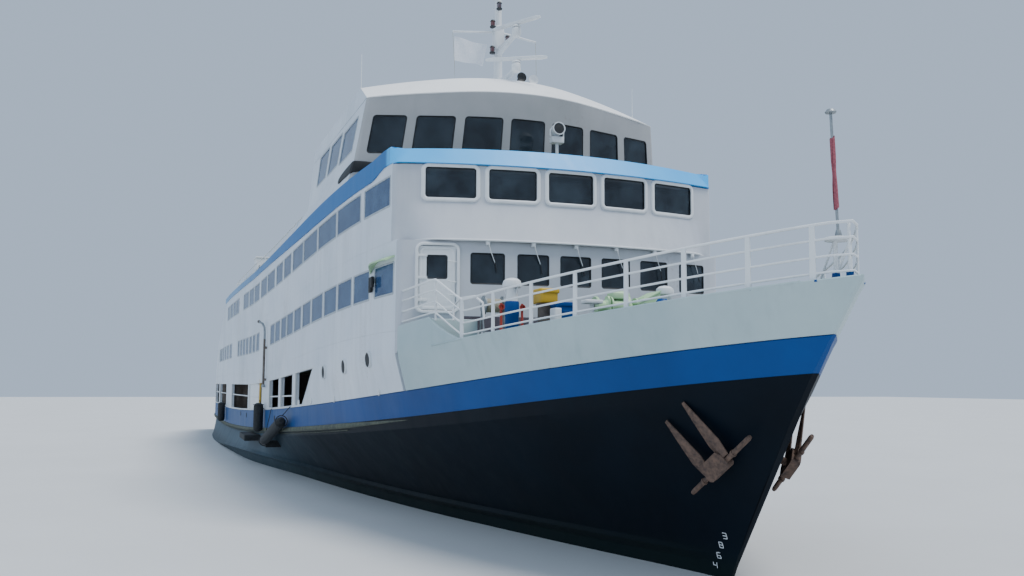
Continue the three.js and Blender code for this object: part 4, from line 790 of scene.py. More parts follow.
# Cuts a wall off along a slanting aft edge: points behind it move up to it
def edgeOf(zOf, lineX, lineZ):
    def move(flat):
        flat = flat.copy()
        flat[:, 0] = np.maximum(flat[:, 0], np.interp(zOf(flat[:, 0], flat[:, 1]), lineZ, lineX))
        return flat
    return move


for sideName, side in (("starboard", -1), ("port", 1)):
    levels = [lambda x: strakeTopAt(x) + 0.003, lambda x: strakeTopAt(x) + 0.06,
              lambda x: 3.4 + 0.9 * houseSheer(x), lambda x: deckHeights["two"] + houseSheer(x) - 0.123]
    at = sideMap(side, levels)
    holes = [dict(h, v0=1.0, v1=2.0, radius=mainSide["radius"]) for h in mainSide["openings"]]
    wall = piercedWall(at, (mainSide["aft"], mainSide["fore"]), [0, 2.4, 3.0], holes, (0.5, 2.2), 0.14, vUnit=1.1)
    piece(f"main_side_plating_{sideName}", [wall], paints["white"],
          replaces=[f"side_{part}_{sideName}" for part in ("aft", "middle", "fore")])
    piece(f"main_side_trim_{sideName}", holeFrames(at, holes, frames["bead"], 1.1), paints["gear"])

    for deck, topAt, data in (("two", lambda x: deckHeights["three"] + houseSheer(x) - 0.123, deckTwoSide),
                              ("three", lambda x: bandFootAt(x) - 0.003, deckThreeSide)):
        low = deckHeights[deck]
        levels = [lambda x, low=low: low + houseSheer(x) - 0.12, lambda x, data=data: data["sill"] + houseSheer(x),
                  lambda x, data=data: data["head"] + houseSheer(x), topAt]
        at = sideMap(side, levels)
        tall = data["head"] - data["sill"]
        holes = [dict(u0=a, u1=b, v0=1.0, v1=2.0, radius=data["radius"]) for a, b in data["spans"]]
        line = ([-29.4, -24.6], [4.7, 6.3]) if deck == "two" else ([-24.2, -17.0], [6.2, 8.2])
        wall = piercedWall(at, (data["aft"], data["fore"]), [0, 0.5, 2.5, 3.0], holes, (0.75, 2.15), 0.14,
                           vUnit=tall, rake=edgeOf(lambda u, v, at=at: at(u, v, 0.0)[:, 2], *line))
        piece(f"deck_{deck}_plating_{sideName}", [wall], paints["white"])
        piece(f"deck_{deck}_window_frames_{sideName}", holeFrames(at, holes, frames["slim"], tall),
              paints["aluminium"])
        piece(f"deck_{deck}_panes_{sideName}", holePanes(at, holes, 0.022, vUnit=tall), paints["tintAndReflectionSideGlass"],
              replaces=f"deck_{deck}_glass_{sideName}")
print("sides ready")


# A front: u runs across the ship and v is the height. It bows aft to both sides, its ends turn aft round a
# corner, and lean adds to the position at each height
def frontMap(crown, bulge, half, corner, lean=None):
    def at(u, v, depth):
        over = np.clip(np.abs(u) - (half - corner), 0, corner)
        back = corner - np.sqrt(np.maximum(corner**2 - over**2, 0))
        turned = over / corner  # the depth turns inwards with the corner
        x = crown - bulge * u * u - back - depth * np.sqrt(np.maximum(1 - turned**2, 0))
        if lean is not None:
            x = x + lean(u, np.asarray(v, float))
        return np.stack([x, u - np.sign(u) * depth * turned, np.broadcast_to(v, u.shape)], -1)
    return at


deckTwoFront = dict(crown=21.3, bulge=0.029, half=4.49, corner=0.12, foot=4.2, head=6.98, sill=5.91, top=6.70,
                    windows=[(-1.56, -0.72), (0.72, 1.56), (-2.74, -1.87), (1.87, 2.74), (-0.43, 0.43),
                             (3.12, 3.98)],
                    door=(-4.0, -3.08, 5.25, 6.85))
deckThreeFront = dict(crown=21.0, bulge=0.032, half=4.54, corner=0.1, foot=6.98, head=8.94, sill=8.1, top=8.9,
                      brow=0.42, browTop=8.02,
                      windows=[(-0.64, 0.64), (0.93, 2.21), (-2.21, -0.93), (2.5, 3.79), (-3.79, -2.5)])

look = deckTwoFront
atFront = frontMap(look["crown"], look["bulge"], look["half"], look["corner"])
holes = [dict(u0=a, u1=b, v0=look["sill"], v1=look["top"], radius=0.07) for a, b in look["windows"]]
doorHole = dict(u0=look["door"][0], u1=look["door"][1], v0=look["door"][2], v1=look["door"][3], radius=0.12)
wall = piercedWall(atFront, (-look["half"], look["half"]), [look["foot"], 4.7, 5.1, 6.9, look["head"]],
                   holes + [doorHole],
                   (5.2, 6.88), 0.12, uStep=0.03)
piece("deck_two_front_plating", [wall], paints["front"], replaces="deck_two_front")
piece("deck_two_front_gaskets", holeFrames(atFront, holes, frames["gasket"]), paints["gasket"])
piece("deck_two_front_panes", holePanes(atFront, holes, 0.05), paints["glass"],
      replaces="deck_two_front_glass")
# A dark band along the foot of the front, behind the bow rail
footBand = dict(low=4.75, high=5.12, out=-0.004, inner=0.02, across=np.linspace(-2.95, 4.3, 70))
ring = [(footBand["low"], footBand["out"]), (footBand["high"], footBand["out"]), (footBand["high"], footBand["inner"]),
        (footBand["low"], footBand["inner"])]
rows = np.stack([atFront(footBand["across"], np.full(len(footBand["across"]), z), d) for z, d in ring], 1)
piece("front_dark_foot_band", [loft(rows)], paints["footBand"])

look = deckThreeFront


# The brow stands forward at the foot and fades out towards the corners
def browLean(u, z):
    fade = 1 - smooth(np.abs(u), 3.6, 4.4)
    return deckThreeFront["brow"] * fade * np.clip((deckThreeFront["browTop"] - z) / 1.04, 0, 1) ** 1.15


atBrow = frontMap(look["crown"], look["bulge"], look["half"], look["corner"], browLean)
holes = [dict(u0=a, u1=b, v0=look["sill"], v1=look["top"], radius=0.09) for a, b in look["windows"]]
heights = [look["foot"], 7.03, 7.2, 7.4, 7.6, 7.8, 7.95, 8.93, look["head"]]
wall = piercedWall(atBrow, (-look["half"], look["half"]), heights, holes, (8.05, 8.92), 0.12, uStep=0.025)
piece("deck_three_front_plating", [wall], paints["front"], replaces="deck_three_front")
piece("deck_three_front_beads", [holeFrames(atBrow, holes, frames["roll"]),
                                 holeFrames(atBrow, holes, frames["gasket"])],
      [paints["gear"], paints["gasket"]])
piece("deck_three_front_panes", holePanes(atBrow, holes, 0.06), paints["glass"],
      replaces="deck_three_front_glass")

# The brow's round lip along the foot of the front. Towards both corners it fades into the plating, and to
# port it turns down beside the deck two windows
across = np.linspace(-4.25, 4.05, 80)
lip = atBrow(across, np.full(80, 7.0), -0.01)
turn = np.radians(np.linspace(10, 90, 8))
bend = [(lip[-1, 0] - 0.3 * (1 - math.cos(t)), 4.05 + 0.22 * math.sin(t), 7.0 - 0.4 * (1 - math.cos(t)))
        for t in turn]
drop = [(bend[-1][0] + 0.01 * k, 4.27, 6.6 - 0.2 * k) for k in range(1, 5)]
lip = np.concatenate([lip, bend, drop])
piece("deck_three_brow_lip", [tube(lip, 0.03, 10, above=(0, 0.05, 1), scale=smooth(np.arange(len(lip)), -2, 12))],
      paints["gear"])
across = np.linspace(-4.3, 4.3, 60)
rows = np.stack([np.stack([atBrow(across, np.full(60, 7.0), 0.0)[:, 0] + dx, across, np.full(60, 7.0 + dz)], 1)
                 for dx, dz in ((0.0, 0.0), (0.0, -0.02), (-0.3, -0.02), (-0.3, 0.0))], 1)
piece("deck_three_brow_underside", [loft(rows)], paints["front"])
print("fronts ready")


# The band round the roof deck's edge: upright along both sides, sloping back across the front
bandLook = dict(aft=-16.8, front=21.06, bulge=0.034, corner=4.42)


def bandPart():
    along = np.linspace(bandLook["aft"], 20.15, 80)
    across = np.linspace(-bandLook["corner"], bandLook["corner"], 61)
    section = [(-0.03, 0.0), (-0.034, 0.02), (-0.028, 0.97), (0.0, 1.0), (0.14, 1.0), (0.12, 0.0)]
    slope = [(-0.03, 0.0), (-0.035, 0.02), (0.27, 0.97), (0.30, 1.0), (0.42, 1.0), (0.12, 0.0)]
    starboardSide, portSide, front = [], [], []
    for x in along:
        low, high = bandFootAt(x), bandTopAt(x)
        row = [(x, -(float(sideHalf(x)) - inset), low + (high - low) * share) for inset, share in section]
        starboardSide.append(row)
        portSide.append([(px, -py, pz) for px, py, pz in row])
    for y in across:
        x = bandLook["front"] - bandLook["bulge"] * y * y
        low, high = bandFootAt(20.4), bandTopAt(20.4) + 0.05 * (1 - (y / 4.42) ** 2)
        front.append([(x - inset, y * (1 - inset / 6.5), low + (high - low) * share) for inset, share in slope])
    return loft(np.array(starboardSide + front + portSide[::-1]))


piece("roof_band_skin", [bandPart()], paints["sky"], replaces="roof_band", sharp=24)
print("band ready")


# Wheelhouse: its front bows forward in the middle, runs out straight to both corners and leans out towards the
# top; its sides stand on the band, flare in to the knuckle and lean in above it
wheelhouse = dict(crown=17.78, bulge=0.0775, straight=2.0, rake=0.14, level=10.6, half=4.73, aftHalf=4.9,
                  leanFore=0.15, leanAft=0.1, knuckle=9.9, back=7.6, corner=16.6, sideEnd=16.5, foot=8.79,
                  sill=10.06, head=11.16, eave=11.65, camber=0.24, roofSide=12.33, roofCamber=0.42, slope=1.5,
                  roofAft=7.54, round=0.1,
                  windows=[(-0.54, 0.54), (0.77, 1.89), (-1.89, -0.77), (2.14, 3.25), (-3.25, -2.14), (3.5, 4.46),
                           (-4.46, -3.5)],
                  sideWindows=[(13.65, 15.8, 10.3, 11.34), (11.4, 13.3, 10.4, 11.46), (9.2, 11.05, 10.45, 11.55)])


def wheelHalf(x, z):
    share = (wheelhouse["corner"] - x) / (wheelhouse["corner"] - wheelhouse["back"])
    lean = wheelhouse["leanFore"] + (wheelhouse["leanAft"] - wheelhouse["leanFore"]) * share
    width = wheelhouse["half"] + (wheelhouse["aftHalf"] - wheelhouse["half"]) * share
    upper = width - lean * (z - wheelhouse["level"])
    knuckle = width + lean * 0.7
    flare = np.clip((wheelhouse["knuckle"] - z) / (wheelhouse["knuckle"] - bandTopAt(x)), 0, 1)
    return np.where(z > wheelhouse["knuckle"], upper, knuckle + (sideHalf(x) - 0.02 - knuckle) * flare)


# Fall of the front from its crown: bulge y^2 up to the straight part, then on along its slope
def frontFall(y):
    middle = np.minimum(np.abs(y), wheelhouse["straight"])
    over = np.abs(y) - middle
    return wheelhouse["bulge"] * (middle**2 + 2 * wheelhouse["straight"] * over)


def wheelFrontX(y, z):
    return wheelhouse["crown"] + wheelhouse["rake"] * (z - wheelhouse["level"]) - frontFall(y)


def atWheelFront(u, v, depth):
    v = np.asarray(v, float) + 0 * u
    half = wheelHalf(np.full_like(v, wheelhouse["corner"]), v)
    y = u * half / wheelhouse["half"]
    over = np.clip(np.abs(u) - wheelhouse["half"] + wheelhouse["round"], 0,
                   wheelhouse["round"]) / wheelhouse["round"]
    back = wheelhouse["round"] * (1 - np.sqrt(np.maximum(1 - over**2, 0)))
    inward = np.sqrt(np.maximum(1 - over**2, 0))
    # its head follows the crowned roof
    rise = wheelhouse["camber"] * (1 - (u / wheelhouse["half"]) ** 2) * np.clip((v - 11.25) / 0.39, 0, 1)
    return np.stack([wheelFrontX(y, v + rise) - back - depth * inward, y - np.sign(u) * depth * over, v + rise], -1)


def wheelSide(side):
    def at(u, v, depth):
        v = np.asarray(v, float) + 0 * u
        corner = wheelFrontX(wheelHalf(np.full_like(v, wheelhouse["corner"]), v), v) - wheelhouse["round"]
        back = wheelhouse["back"]
        x = back + (u - back) * (corner - back) / (wheelhouse["sideEnd"] - back)
        return np.stack([x, side * (wheelHalf(x, v) - depth), v], -1)
    return at


# The side wall's foot follows the band's top
def footedOn(at):
    def move(flat):
        flat = flat.copy()
        flat[:, 1] = np.maximum(flat[:, 1], bandTopAt(at(flat[:, 0], flat[:, 1], 0.0)[:, 0]) + 0.006)
        return flat
    return move


look = wheelhouse
holes = [dict(u0=a, u1=b, v0=look["sill"], v1=look["head"], radius=0.1) for a, b in look["windows"]]
heights = [look["foot"], 9.0, 9.3, 9.6, 9.9, 9.95, 11.3, 11.5, 11.64]
wall = piercedWall(atWheelFront, (-look["half"], look["half"]), heights, holes, (10.0, 11.22), 0.1, uStep=0.02)
piece("wheelhouse_front_plating", [wall], paints["wheelFront"], replaces="wheelhouse_front")
gaskets = holeFrames(atWheelFront, holes, frames["gasket"])
panes = holePanes(atWheelFront, holes, 0.05)
slims, sidePanes = [], []
for sideName, side in (("starboard", -1), ("port", 1)):
    at = wheelSide(side)
    holes = [dict(u0=a, u1=b, v0=v0, v1=v1, radius=0.09) for a, b, v0, v1 in look["sideWindows"]]
    wall = piercedWall(at, (look["back"], look["sideEnd"]), [8.6, 9.35, 9.6, 9.9, 9.95, 11.64], holes,
                       (10.2, 11.62), 0.1, rake=footedOn(at))
    x = np.linspace(6.9, 7.61, 8)
    high = 9.0 + 0.45 * (x - 6.9) / 0.75
    screen = [np.stack([x, side * (sideHalf(x) - 0.02 - inset), z], 1) for inset, z in (
        (0, bandTopAt(x) + 0.006), ((high - bandTopAt(x)) * 0.45, high), ((high - bandTopAt(x)) * 0.45 + 0.1, high),
        (0.1, bandTopAt(x) + 0.006))]
    piece(f"wheelhouse_plating_{sideName}", [wall, loft(np.stack(screen, 1))], paints["white"],
          replaces=f"wheelhouse_side_{sideName}")
    slims += holeFrames(at, holes, frames["slim"])
    sidePanes += holePanes(at, holes, 0.03)
piece("wheelhouse_gaskets", [gaskets, slims], [paints["gasket"], paints["aluminium"]])
piece("wheelhouse_panes", [panes, sidePanes], [paints["glass"], paints["tintAndReflectionSideGlass"]],
      replaces="wheelhouse_glass")


# Roof: rows across the ship, from the eave up the sloping fascia, over the crowned top to its aft edge
def roofRows():
    rows = []
    for share in np.linspace(-1, 1, 41):
        rise = 1 - share * share
        eaveHalf = wheelHalf(look["corner"], np.array(look["eave"]))
        topHalf = wheelHalf(look["corner"] - look["slope"], np.array(look["roofSide"]))
        low, high = look["eave"] + 0.006 + look["camber"] * rise, look["roofSide"] + look["roofCamber"] * rise
        nose = wheelFrontX(share * eaveHalf, look["eave"]) + 0.03 - 0.08 * abs(share) ** 30
        foot = np.array([nose, share * eaveHalf, low])
        head = np.array([wheelFrontX(share * topHalf, look["roofSide"]) - look["slope"], share * topHalf, high])
        aftHigh = np.array([look["roofAft"], share * wheelHalf(look["back"], np.array(12.2)), high - 0.15])
        aftLow = np.array([look["roofAft"], share * wheelHalf(look["back"], np.array(look["eave"])), low])
        slope = [foot + (head - foot) * t for t in (0.0, 0.03, 0.5, 0.97)]
        top = [head + (aftHigh - head) * t for t in (0.0, 0.03, 0.5, 0.98)]
        rows.append(slope + top + [aftHigh - (0, 0, 0.02), aftLow])
    return np.array(rows)


rows = roofRows()
fascia = rows[:, 0:4] + np.array([0.004, 0, 0.008])
fasciaRows = np.concatenate([fascia, (rows[:, 0:4] - np.array([0.01, 0, 0.02]))[:, ::-1]], 1)
# A panel at the aft end fills the crown between the back wall and the roof
panel = dict(aft=7.575, fore=7.66, foot=11.5)
headRows = []
for share in np.linspace(-0.99, 0.99, 41):
    y = share * float(wheelHalf(look["back"], np.array(look["eave"])))
    high = look["eave"] + 0.02 + look["camber"] * (1 - share * share)
    headRows.append([(panel["aft"], y, panel["foot"]), (panel["aft"], y, high), (panel["fore"], y, high),
                     (panel["fore"], y, panel["foot"])])
piece("wheelhouse_roof_plating", [[loft(rows), loft(headRows)], [loft(fasciaRows)]],
      [paints["white"], paints["fascia"]], replaces="wheelhouse_roof", sharp=20)

# A dark curved duct mouth at the foot of the wheelhouse's starboard corner; it runs round onto the front.
# Its foot and its head are curves along the side and then inboard along the front
ventFoot = curveOf([(14.7, 9.62), (14.9, 9.46), (15.4, 9.47), (16.3, 9.5), (16.85, 9.57), (17.16, 9.68)])
ventHead = curveOf([(14.7, 9.66), (14.9, 9.75), (15.5, 9.82), (16.3, 9.84), (16.9, 9.81), (17.16, 9.74)])
vent = dict(aft=14.7, fore=17.16, corner=16.44, proud=0.04, deep=-0.04)


# A point on the skin there
def roundCorner(along, z, out):
    half = float(wheelHalf(min(along, vent["corner"]), np.array(z)))
    if along <= vent["corner"]:
        return along, -half - out, z
    y = half - (along - vent["corner"])
    return float(wheelFrontX(y, z)) + out, -y - 0.3 * out, z


recess = []
for along in np.linspace(vent["aft"], vent["fore"], 60):
    low, high = float(ventFoot(along)), float(ventHead(along))
    lift = vent["proud"] if vent["aft"] + 0.02 < along < vent["fore"] - 0.02 else 0.01
    ease = 0.02 * lift / vent["proud"]
    recess.append([roundCorner(along, z, out) for z, out in (
        (low, vent["deep"]), (low, lift - 0.012), (low + ease, lift), (0.5 * low + 0.5 * high, lift + 0.004),
        (high - ease, lift), (high, lift - 0.012), (high, vent["deep"]))])
# The mouth's dark colour is partly dark rubber and partly painted shade of the open mouth, on a plate a little
# proud of the wall
piece("corner_vent_recess", [loft(recess)], paints["gasket"])
print("wheelhouse ready")


# Bow rail: four bars along the wing, down to the knee and round the bow, on flat stanchions with round corners
railLook = dict(inset=0.12, shares=(0.12, 0.41, 0.72, 1.0), rise=0.855, radius=0.019, top=0.024, aft=20.6,
                corner=22.53, knee=23.71, posts=(24.88, 26.09, 27.25, 28.39, 29.5, 30.52, 31.39))


def railBase(x):
    fall = np.clip((x - railLook["corner"]) / (railLook["knee"] - railLook["corner"]), 0, 1)
    return platingTopAt(x) + 0.66 * (1 - fall)


def railPoint(x, share, side):
    x = np.asarray(x, float)
    return np.stack([x, side * (sideHalf(x) - railLook["inset"]), railBase(x) + share * railLook["rise"]], -1)


# Corners of a bar are bent with a short radius, not broken
def railPath(share, side):
    key = [railLook["aft"], railLook["corner"], railLook["knee"]]
    xs = np.concatenate([np.linspace(key[0], key[1], 8), np.linspace(key[1], key[2], 6)[1:],
                         np.linspace(key[2], 31.6, 34)[1:]])
    path = railPoint(xs, share, side)
    for k in (7, 12):
        before = path[k] + (path[k - 1] - path[k]) * 0.3
        after = path[k] + (path[k + 1] - path[k]) * 0.3
        path[k] = (before + 2 * path[k] + after) / 4
    return path


def bar(a, b, radius, sides=10, end=1.0):  # a straight round bar that may taper
    return tube([a, b], radius, sides, above=(0.02, 0.03, 1) if abs(b[2] - a[2]) < 0.9 * math.dist(a, b)
                else (1, 0, 0.02), scale=np.array([1.0, end]))


parts, feet = [], []
for share in railLook["shares"]:
    nose = [[(31.82, 0, railBase(31.7) + share * railLook["rise"])]]
    path = np.concatenate([railPath(share, -1), *nose, railPath(share, 1)[::-1]])
    parts.append(tube(path, railLook["top"] if share == 1 else railLook["radius"], 10))
for side in (-1, 1):
    corner = railPoint(railLook["corner"], 1.0, side)
    parts.append(tube([(corner[0] + 0.06, corner[1], edgeTopAt(railLook["corner"]) - 0.02), corner], 0.026, 10))
    for x in (railLook["knee"],) + railLook["posts"]:
        foot, top = railPoint(x, -0.01, side), railPoint(x, 1.01, side)
        slant = (sideHalf(x + 0.3) - sideHalf(x - 0.3)) / 0.6
        along = np.array([1.0, side * slant, 0.35]) / math.hypot(1, slant, 0.35)
        wide = 0.064 if x == railLook["knee"] else 0.05
        rows = []
        for share, grow in ((0, 1.15), (0.04, 1.08), (0.2, 1.0), (0.9, 0.95), (1.0, 0.85)):
            centre = foot + (top - foot) * share
            outline = roundRing(-wide * grow, wide * grow, -0.018, 0.018, 0.015, 8)
            aside = np.array([-along[1], along[0], 0]) / math.hypot(along[0], along[1])
            flat = np.array([along[0], along[1], 0]) / math.hypot(along[0], along[1])
            rows.append(centre + outline[:, :1] * flat + outline[:, 1:] * aside)
        parts.append(loft(rows))
        feet.append(block(foot - (0.12, 0.045, 0.02), foot + (0.12, 0.045, 0.012), 0.02, 0.006))
# Platform at the stem: a round plate with a rim on a leg, and the post at the rail's nose
parts.append(turned([(0, 5.69), (0.19, 5.69), (0.205, 5.7), (0.205, 5.735), (0.195, 5.745), (0.18, 5.735),
                     (0, 5.735)],
                    (31.46, 0, 0), sides=36))
parts.append(block((31.375, -0.035, 5.15), (31.425, 0.035, 5.7), 0.02, 0.008))
parts.append(block((31.7, -0.025, 5.1), (31.745, 0.025, 5.93), 0.015, 0.008))
parts += [bar((31.0, 0, 5.1), (31.36, 0, 5.68), 0.018, 8), bar((31.45, 0, 5.2), (31.7, 0, 5.6), 0.018, 8)]
feet += [block((31.35, -0.05, 5.11), (31.45, 0.05, 5.2), 0.02, 0.01),
         block((31.67, -0.04, 5.1), (31.775, 0.04, 5.19), 0.02, 0.01)]
piece("bow_rail_tubes", [parts, feet], [paints["gear"], paints["blue"]], replaces="bow_rail")

# Jackstaff with its truck, and the flag furled round it: cloth wound in a spiral whose radius grows
staffAt = lambda z: np.array([31.48 - 0.05 * (z - 5.72), 0, z])
staff = [bar(staffAt(5.72), staffAt(7.74), 0.022, 12),
         turned([(0, 7.72), (0.08, 7.73), (0.09, 7.75), (0.06, 7.79), (0, 7.8)],
                                                               (31.38, 0, 0), sides=24),
         turned([(0, 5.74), (0.06, 5.74), (0.05, 5.8), (0.035, 5.86), (0, 5.86)], (31.48, 0, 0), sides=20)]
piece("jackstaff", [staff], paints["steel"])
turns = np.linspace(0, 2 * np.pi * 1.7, 60)
heights = np.linspace(6.2, 7.34, 32)
winding = []
for k, z in enumerate(heights):
    share = (z - heights[0]) / (heights[-1] - heights[0])
    waist = math.exp(-((share - 0.5) / 0.13) ** 2)  # lashed tight to the staff half way up
    radius = 0.0275 + (0.017 - 0.012 * waist) * turns / turns[-1] + 0.002 * np.sin(3 * turns + 9 * share)
    angle = turns + 1.1 * share
    winding.append(staffAt(z) + np.stack([radius * np.cos(angle), radius * np.sin(angle), 0.03 * np.sin(angle)], 1))
winding = np.array(winding)
inner = winding - 0.001 * (winding - winding.mean(1, keepdims=True)) / 0.04


def clothPart(front, back):  # two skins of a cloth, closed at the hems
    rows, cols = front.shape[:2]
    grid = gridFaces(rows, cols)
    points = np.concatenate([front.reshape(-1, 3), back.reshape(-1, 3)])
    rim = list(range(cols)) + [i * cols + cols - 1 for i in range(1, rows)]
    rim += [(rows - 1) * cols + j for j in range(cols - 2, -1, -1)] + [i * cols for i in range(rows - 2, 0, -1)]
    n = rows * cols
    sides = [[b, a, a + n, b + n] for a, b in zip(rim, rim[1:] + rim[:1])]
    return closedPart(points, grid.tolist() + (grid[:, ::-1] + n).tolist() + sides)


jack = piece("jack_flag_cloth", [clothPart(winding, inner)], paints["red"], replaces="jack_flag")

# Roof deck with its vent casings, and the rails round it
roofTopAt = lambda x: deckHeights["roof"] + houseSheer(x)
casing = dict(aft=-10.6, fore=-9.4, inner=4.7, outer=5.45, foot=7.9, top=10.2)
grille = dict(margin=0.16, foot=1.1, head=0.45, first=1.04, count=7, pitch=0.09, slat=0.02)
casings, louvres = [], []
for side in (-1, 1):
    inner, outer = sorted((side * casing["inner"], side * casing["outer"]))
    casings.append(block((casing["aft"], inner, casing["foot"]), (casing["fore"], outer, casing["top"]),
                         0.05, 0.03))
    casings.append(block((casing["aft"] - 0.04, inner - 0.03, casing["top"] - 0.04),
                         (casing["fore"] + 0.04, outer + 0.03, casing["top"] + 0.03), 0.05, 0.02))
    for end, out in ((casing["fore"], 1), (casing["aft"], -1)):
        near, far = sorted((end - 0.01 * out, end + 0.012 * out))
        left, right = inner + grille["margin"], outer - grille["margin"]
        louvres.append(block((near, left, casing["top"] - grille["foot"]),
                             (far, right, casing["top"] - grille["head"]), 0.02, 0.004))
        near, far = sorted((end - 0.005 * out, end + 0.03 * out))
        for k in range(grille["count"]):
            z = casing["top"] - grille["first"] + k * grille["pitch"]
            louvres.append(block((near, left, z), (far, right, z + grille["slat"]), 0.004, 0.003))
# The deck's fore edge follows the bowed front of deck three
slab = dict(fore=20.1, thick=0.12)
bow = []
for y in np.linspace(-4.28, 4.28, 41):
    edge = deckThreeFront["crown"] - 0.1 - deckThreeFront["bulge"] * y * y
    bow.append([(x, y, roofTopAt(x) - drop) for x, drop in (
        (slab["fore"], 0.0), (edge, 0.0), (edge, slab["thick"]), (slab["fore"], slab["thick"]))])
plates = [deckSlab(bandLook["aft"], slab["fore"], roofTopAt, 0.18, slab["thick"]), loft(bow)]
piece("roof_deck_plates", [plates, casings, louvres],
      [paints["roofPaint"], paints["gear"], paints["gasket"]], replaces="roof_deck")
roofRail = dict(fore=7.0, aft=-16.4, inset=0.55, bars=((0.32, 0.016), (0.62, 0.016), (0.92, 0.02)), height=0.92)
parts = []
for rise, radius in roofRail["bars"]:
    along = np.linspace(roofRail["fore"], roofRail["aft"], 40)
    path = np.stack([along, -(sideHalf(along) - roofRail["inset"]), bandTopAt(along) + rise], 1)
    parts.append(tube(np.concatenate([path, (path * (1, -1, 1))[::-1]]), radius, 8))
for side in (-1, 1):
    for x in np.linspace(6.9, -16.3, 16):
        y = side * (sideHalf(x) - roofRail["inset"])
        parts.append(bar((x, y, roofTopAt(x)), (x, y, bandTopAt(x) + roofRail["height"]), 0.018, 8))
piece("roof_rail_tubes", parts, paints["gear"], replaces="roof_rail")
print("rails ready")


# Front door: a raised coaming on the wall, and a door leaf with a stiffened border, a window, hinges and handles
door = dict(doorHole, window=(-3.8, -3.29, 6.02, 6.62))
coaming = holeFrames(atFront, [doorHole], [(0.005, 0.05), (0.005, -0.05), (0.02, -0.065), (0.06, -0.065),
                                           (0.075, -0.05),
                                         (0.075, 0.05)])
piece("front_door_coaming", coaming, paints["gear"])
leafAt = frontMap(deckTwoFront["crown"], deckTwoFront["bulge"], 9.0, 0.1)
pane = dict(u0=door["window"][0], u1=door["window"][1], v0=door["window"][2], v1=door["window"][3], radius=0.06)
leaf = piercedWall(leafAt, (door["u0"] + 0.015, door["u1"] - 0.015),
                   [door["v0"] + 0.015, 5.4, 5.6, 5.8, 6.75, door["v1"] - 0.015], [pane], (5.95, 6.68), 0.045,
                   uStep=0.06)
border = holeFrames(leafAt, [dict(u0=door["u0"] + 0.1, u1=door["u1"] - 0.1, v0=door["v0"] + 0.1,
                                  v1=door["v1"] - 0.1,
                                  radius=0.08)], [(0.0, 0.01), (0.0, -0.012), (0.015, -0.02), (0.05, -0.02),
                                                  (0.07, 0.0), (0.07, 0.01)])
ironwork = []
for v in (5.5, 6.05, 6.6):
    hinge = leafAt(np.array([door["u0"] - 0.02]), np.array([v]), -0.05)[0]
    ironwork.append(tube([hinge - (0, 0, 0.07), hinge + (0, 0, 0.07)], 0.02, 10, above=(1, 0, 0)))
    plate = leafAt(np.array([door["u0"] + 0.1]), np.array([v]), -0.02)[0]
    ironwork.append(block(plate - (0.012, 0.12, 0.03), plate + (0.02, 0.12, 0.03), 0.01, 0.005))
for v in (5.62, 5.95, 6.45):
    dog = leafAt(np.array([door["u1"] - 0.07]), np.array([v]), -0.05)[0]
    ironwork.append(tube([dog + (0.0, 0.06, 0.0), dog + (0.02, 0.0, 0.0), dog + (0.02, -0.16, 0.02)], 0.014, 8))
piece("front_door_leaf", [[leaf, *border, *ironwork], holeFrames(leafAt, [pane], frames["gasket"]),
                          holePanes(leafAt, [pane], 0.03)],
      [paints["gear"], paints["gasket"], paints["glass"]], body="front_door",
      replaces="front_door")

# Wipers: a motor bracket under the brow, an arm and a blade on each window of the deck two front
wiperParts, bladeParts = [], []
for a, b in sorted(deckTwoFront["windows"]):
    u = (a + b) / 2
    base = atFront(np.array([u - 0.02]), np.array([6.93]), -0.01)[0]
    wiperParts.append(block(base - (0.02, 0.05, 0.05), base + (0.1, 0.05, 0.05), 0.02, 0.01))
    wiperParts.append(tube([base + (0.08, 0.0, 0.0), base + (0.13, 0.0, -0.03), base + (0.1, 0.06, -0.2),
                            base + (0.02, 0.2, -0.48)], 0.01, 8))
    bladeParts.append(tube([base + (0.045, 0.12, -0.24), base + (0.02, 0.2, -0.48), base + (0.015, 0.24, -0.72)],
                           0.013, 6))
piece("wiper_arms", [wiperParts, bladeParts], [paints["gear"], paints["rubber"]])

# A hooped grab pipe on the wing
hoop = [(23.15, -3.75, 4.86), (23.05, -3.72, 5.2), (23.2, -3.6, 5.36), (23.6, -3.4, 5.38), (23.85, -3.3, 5.22),
        (23.9, -3.28, 4.86)]
piece("wing_grab_hoop", [tube(hoop, 0.025, 10, above=(0, 1, 0.1))], paints["gear"])
print("door and wipers ready")


# Mast: a tapered pole on a tabernacle, swept yard, two struts with pedestals for the scanners, lamps and horns
mast = dict(x=15.0, foot=12.79, top=17.2, yardX=15.1, sweep=0.45, half=1.43, yardZ=14.77, scannerX=16.75,
            lower=13.22, upper=14.34)
steel, dark, lens = [], [], []
steel.append(tube([(mast["x"], 0, mast["foot"]), (mast["x"], 0, 14.5), (mast["x"], 0, mast["top"])], 0.15, 20,
                  above=(1, 0, 0), scale=np.array([1.0, 0.85, 0.5])))
steel += [block((14.78, -0.2, 12.78), (15.22, 0.2, 12.95), 0.04, 0.02),
          block((14.86, -0.17, 14.2), (15.14, 0.17, 15.0), 0.05, 0.02)]
for k in range(14):
    z = 13.1 + k * 0.28
    steel.append(bar((mast["x"] - 0.12, -0.16, z), (mast["x"] - 0.12, 0.16, z), 0.012, 6))
yardEnds = [(mast["yardX"] - mast["sweep"], side * mast["half"], mast["yardZ"]) for side in (-1, 1)]
steel.append(tube([yardEnds[0], (mast["yardX"], 0, mast["yardZ"]), yardEnds[1]], 0.035, 12))
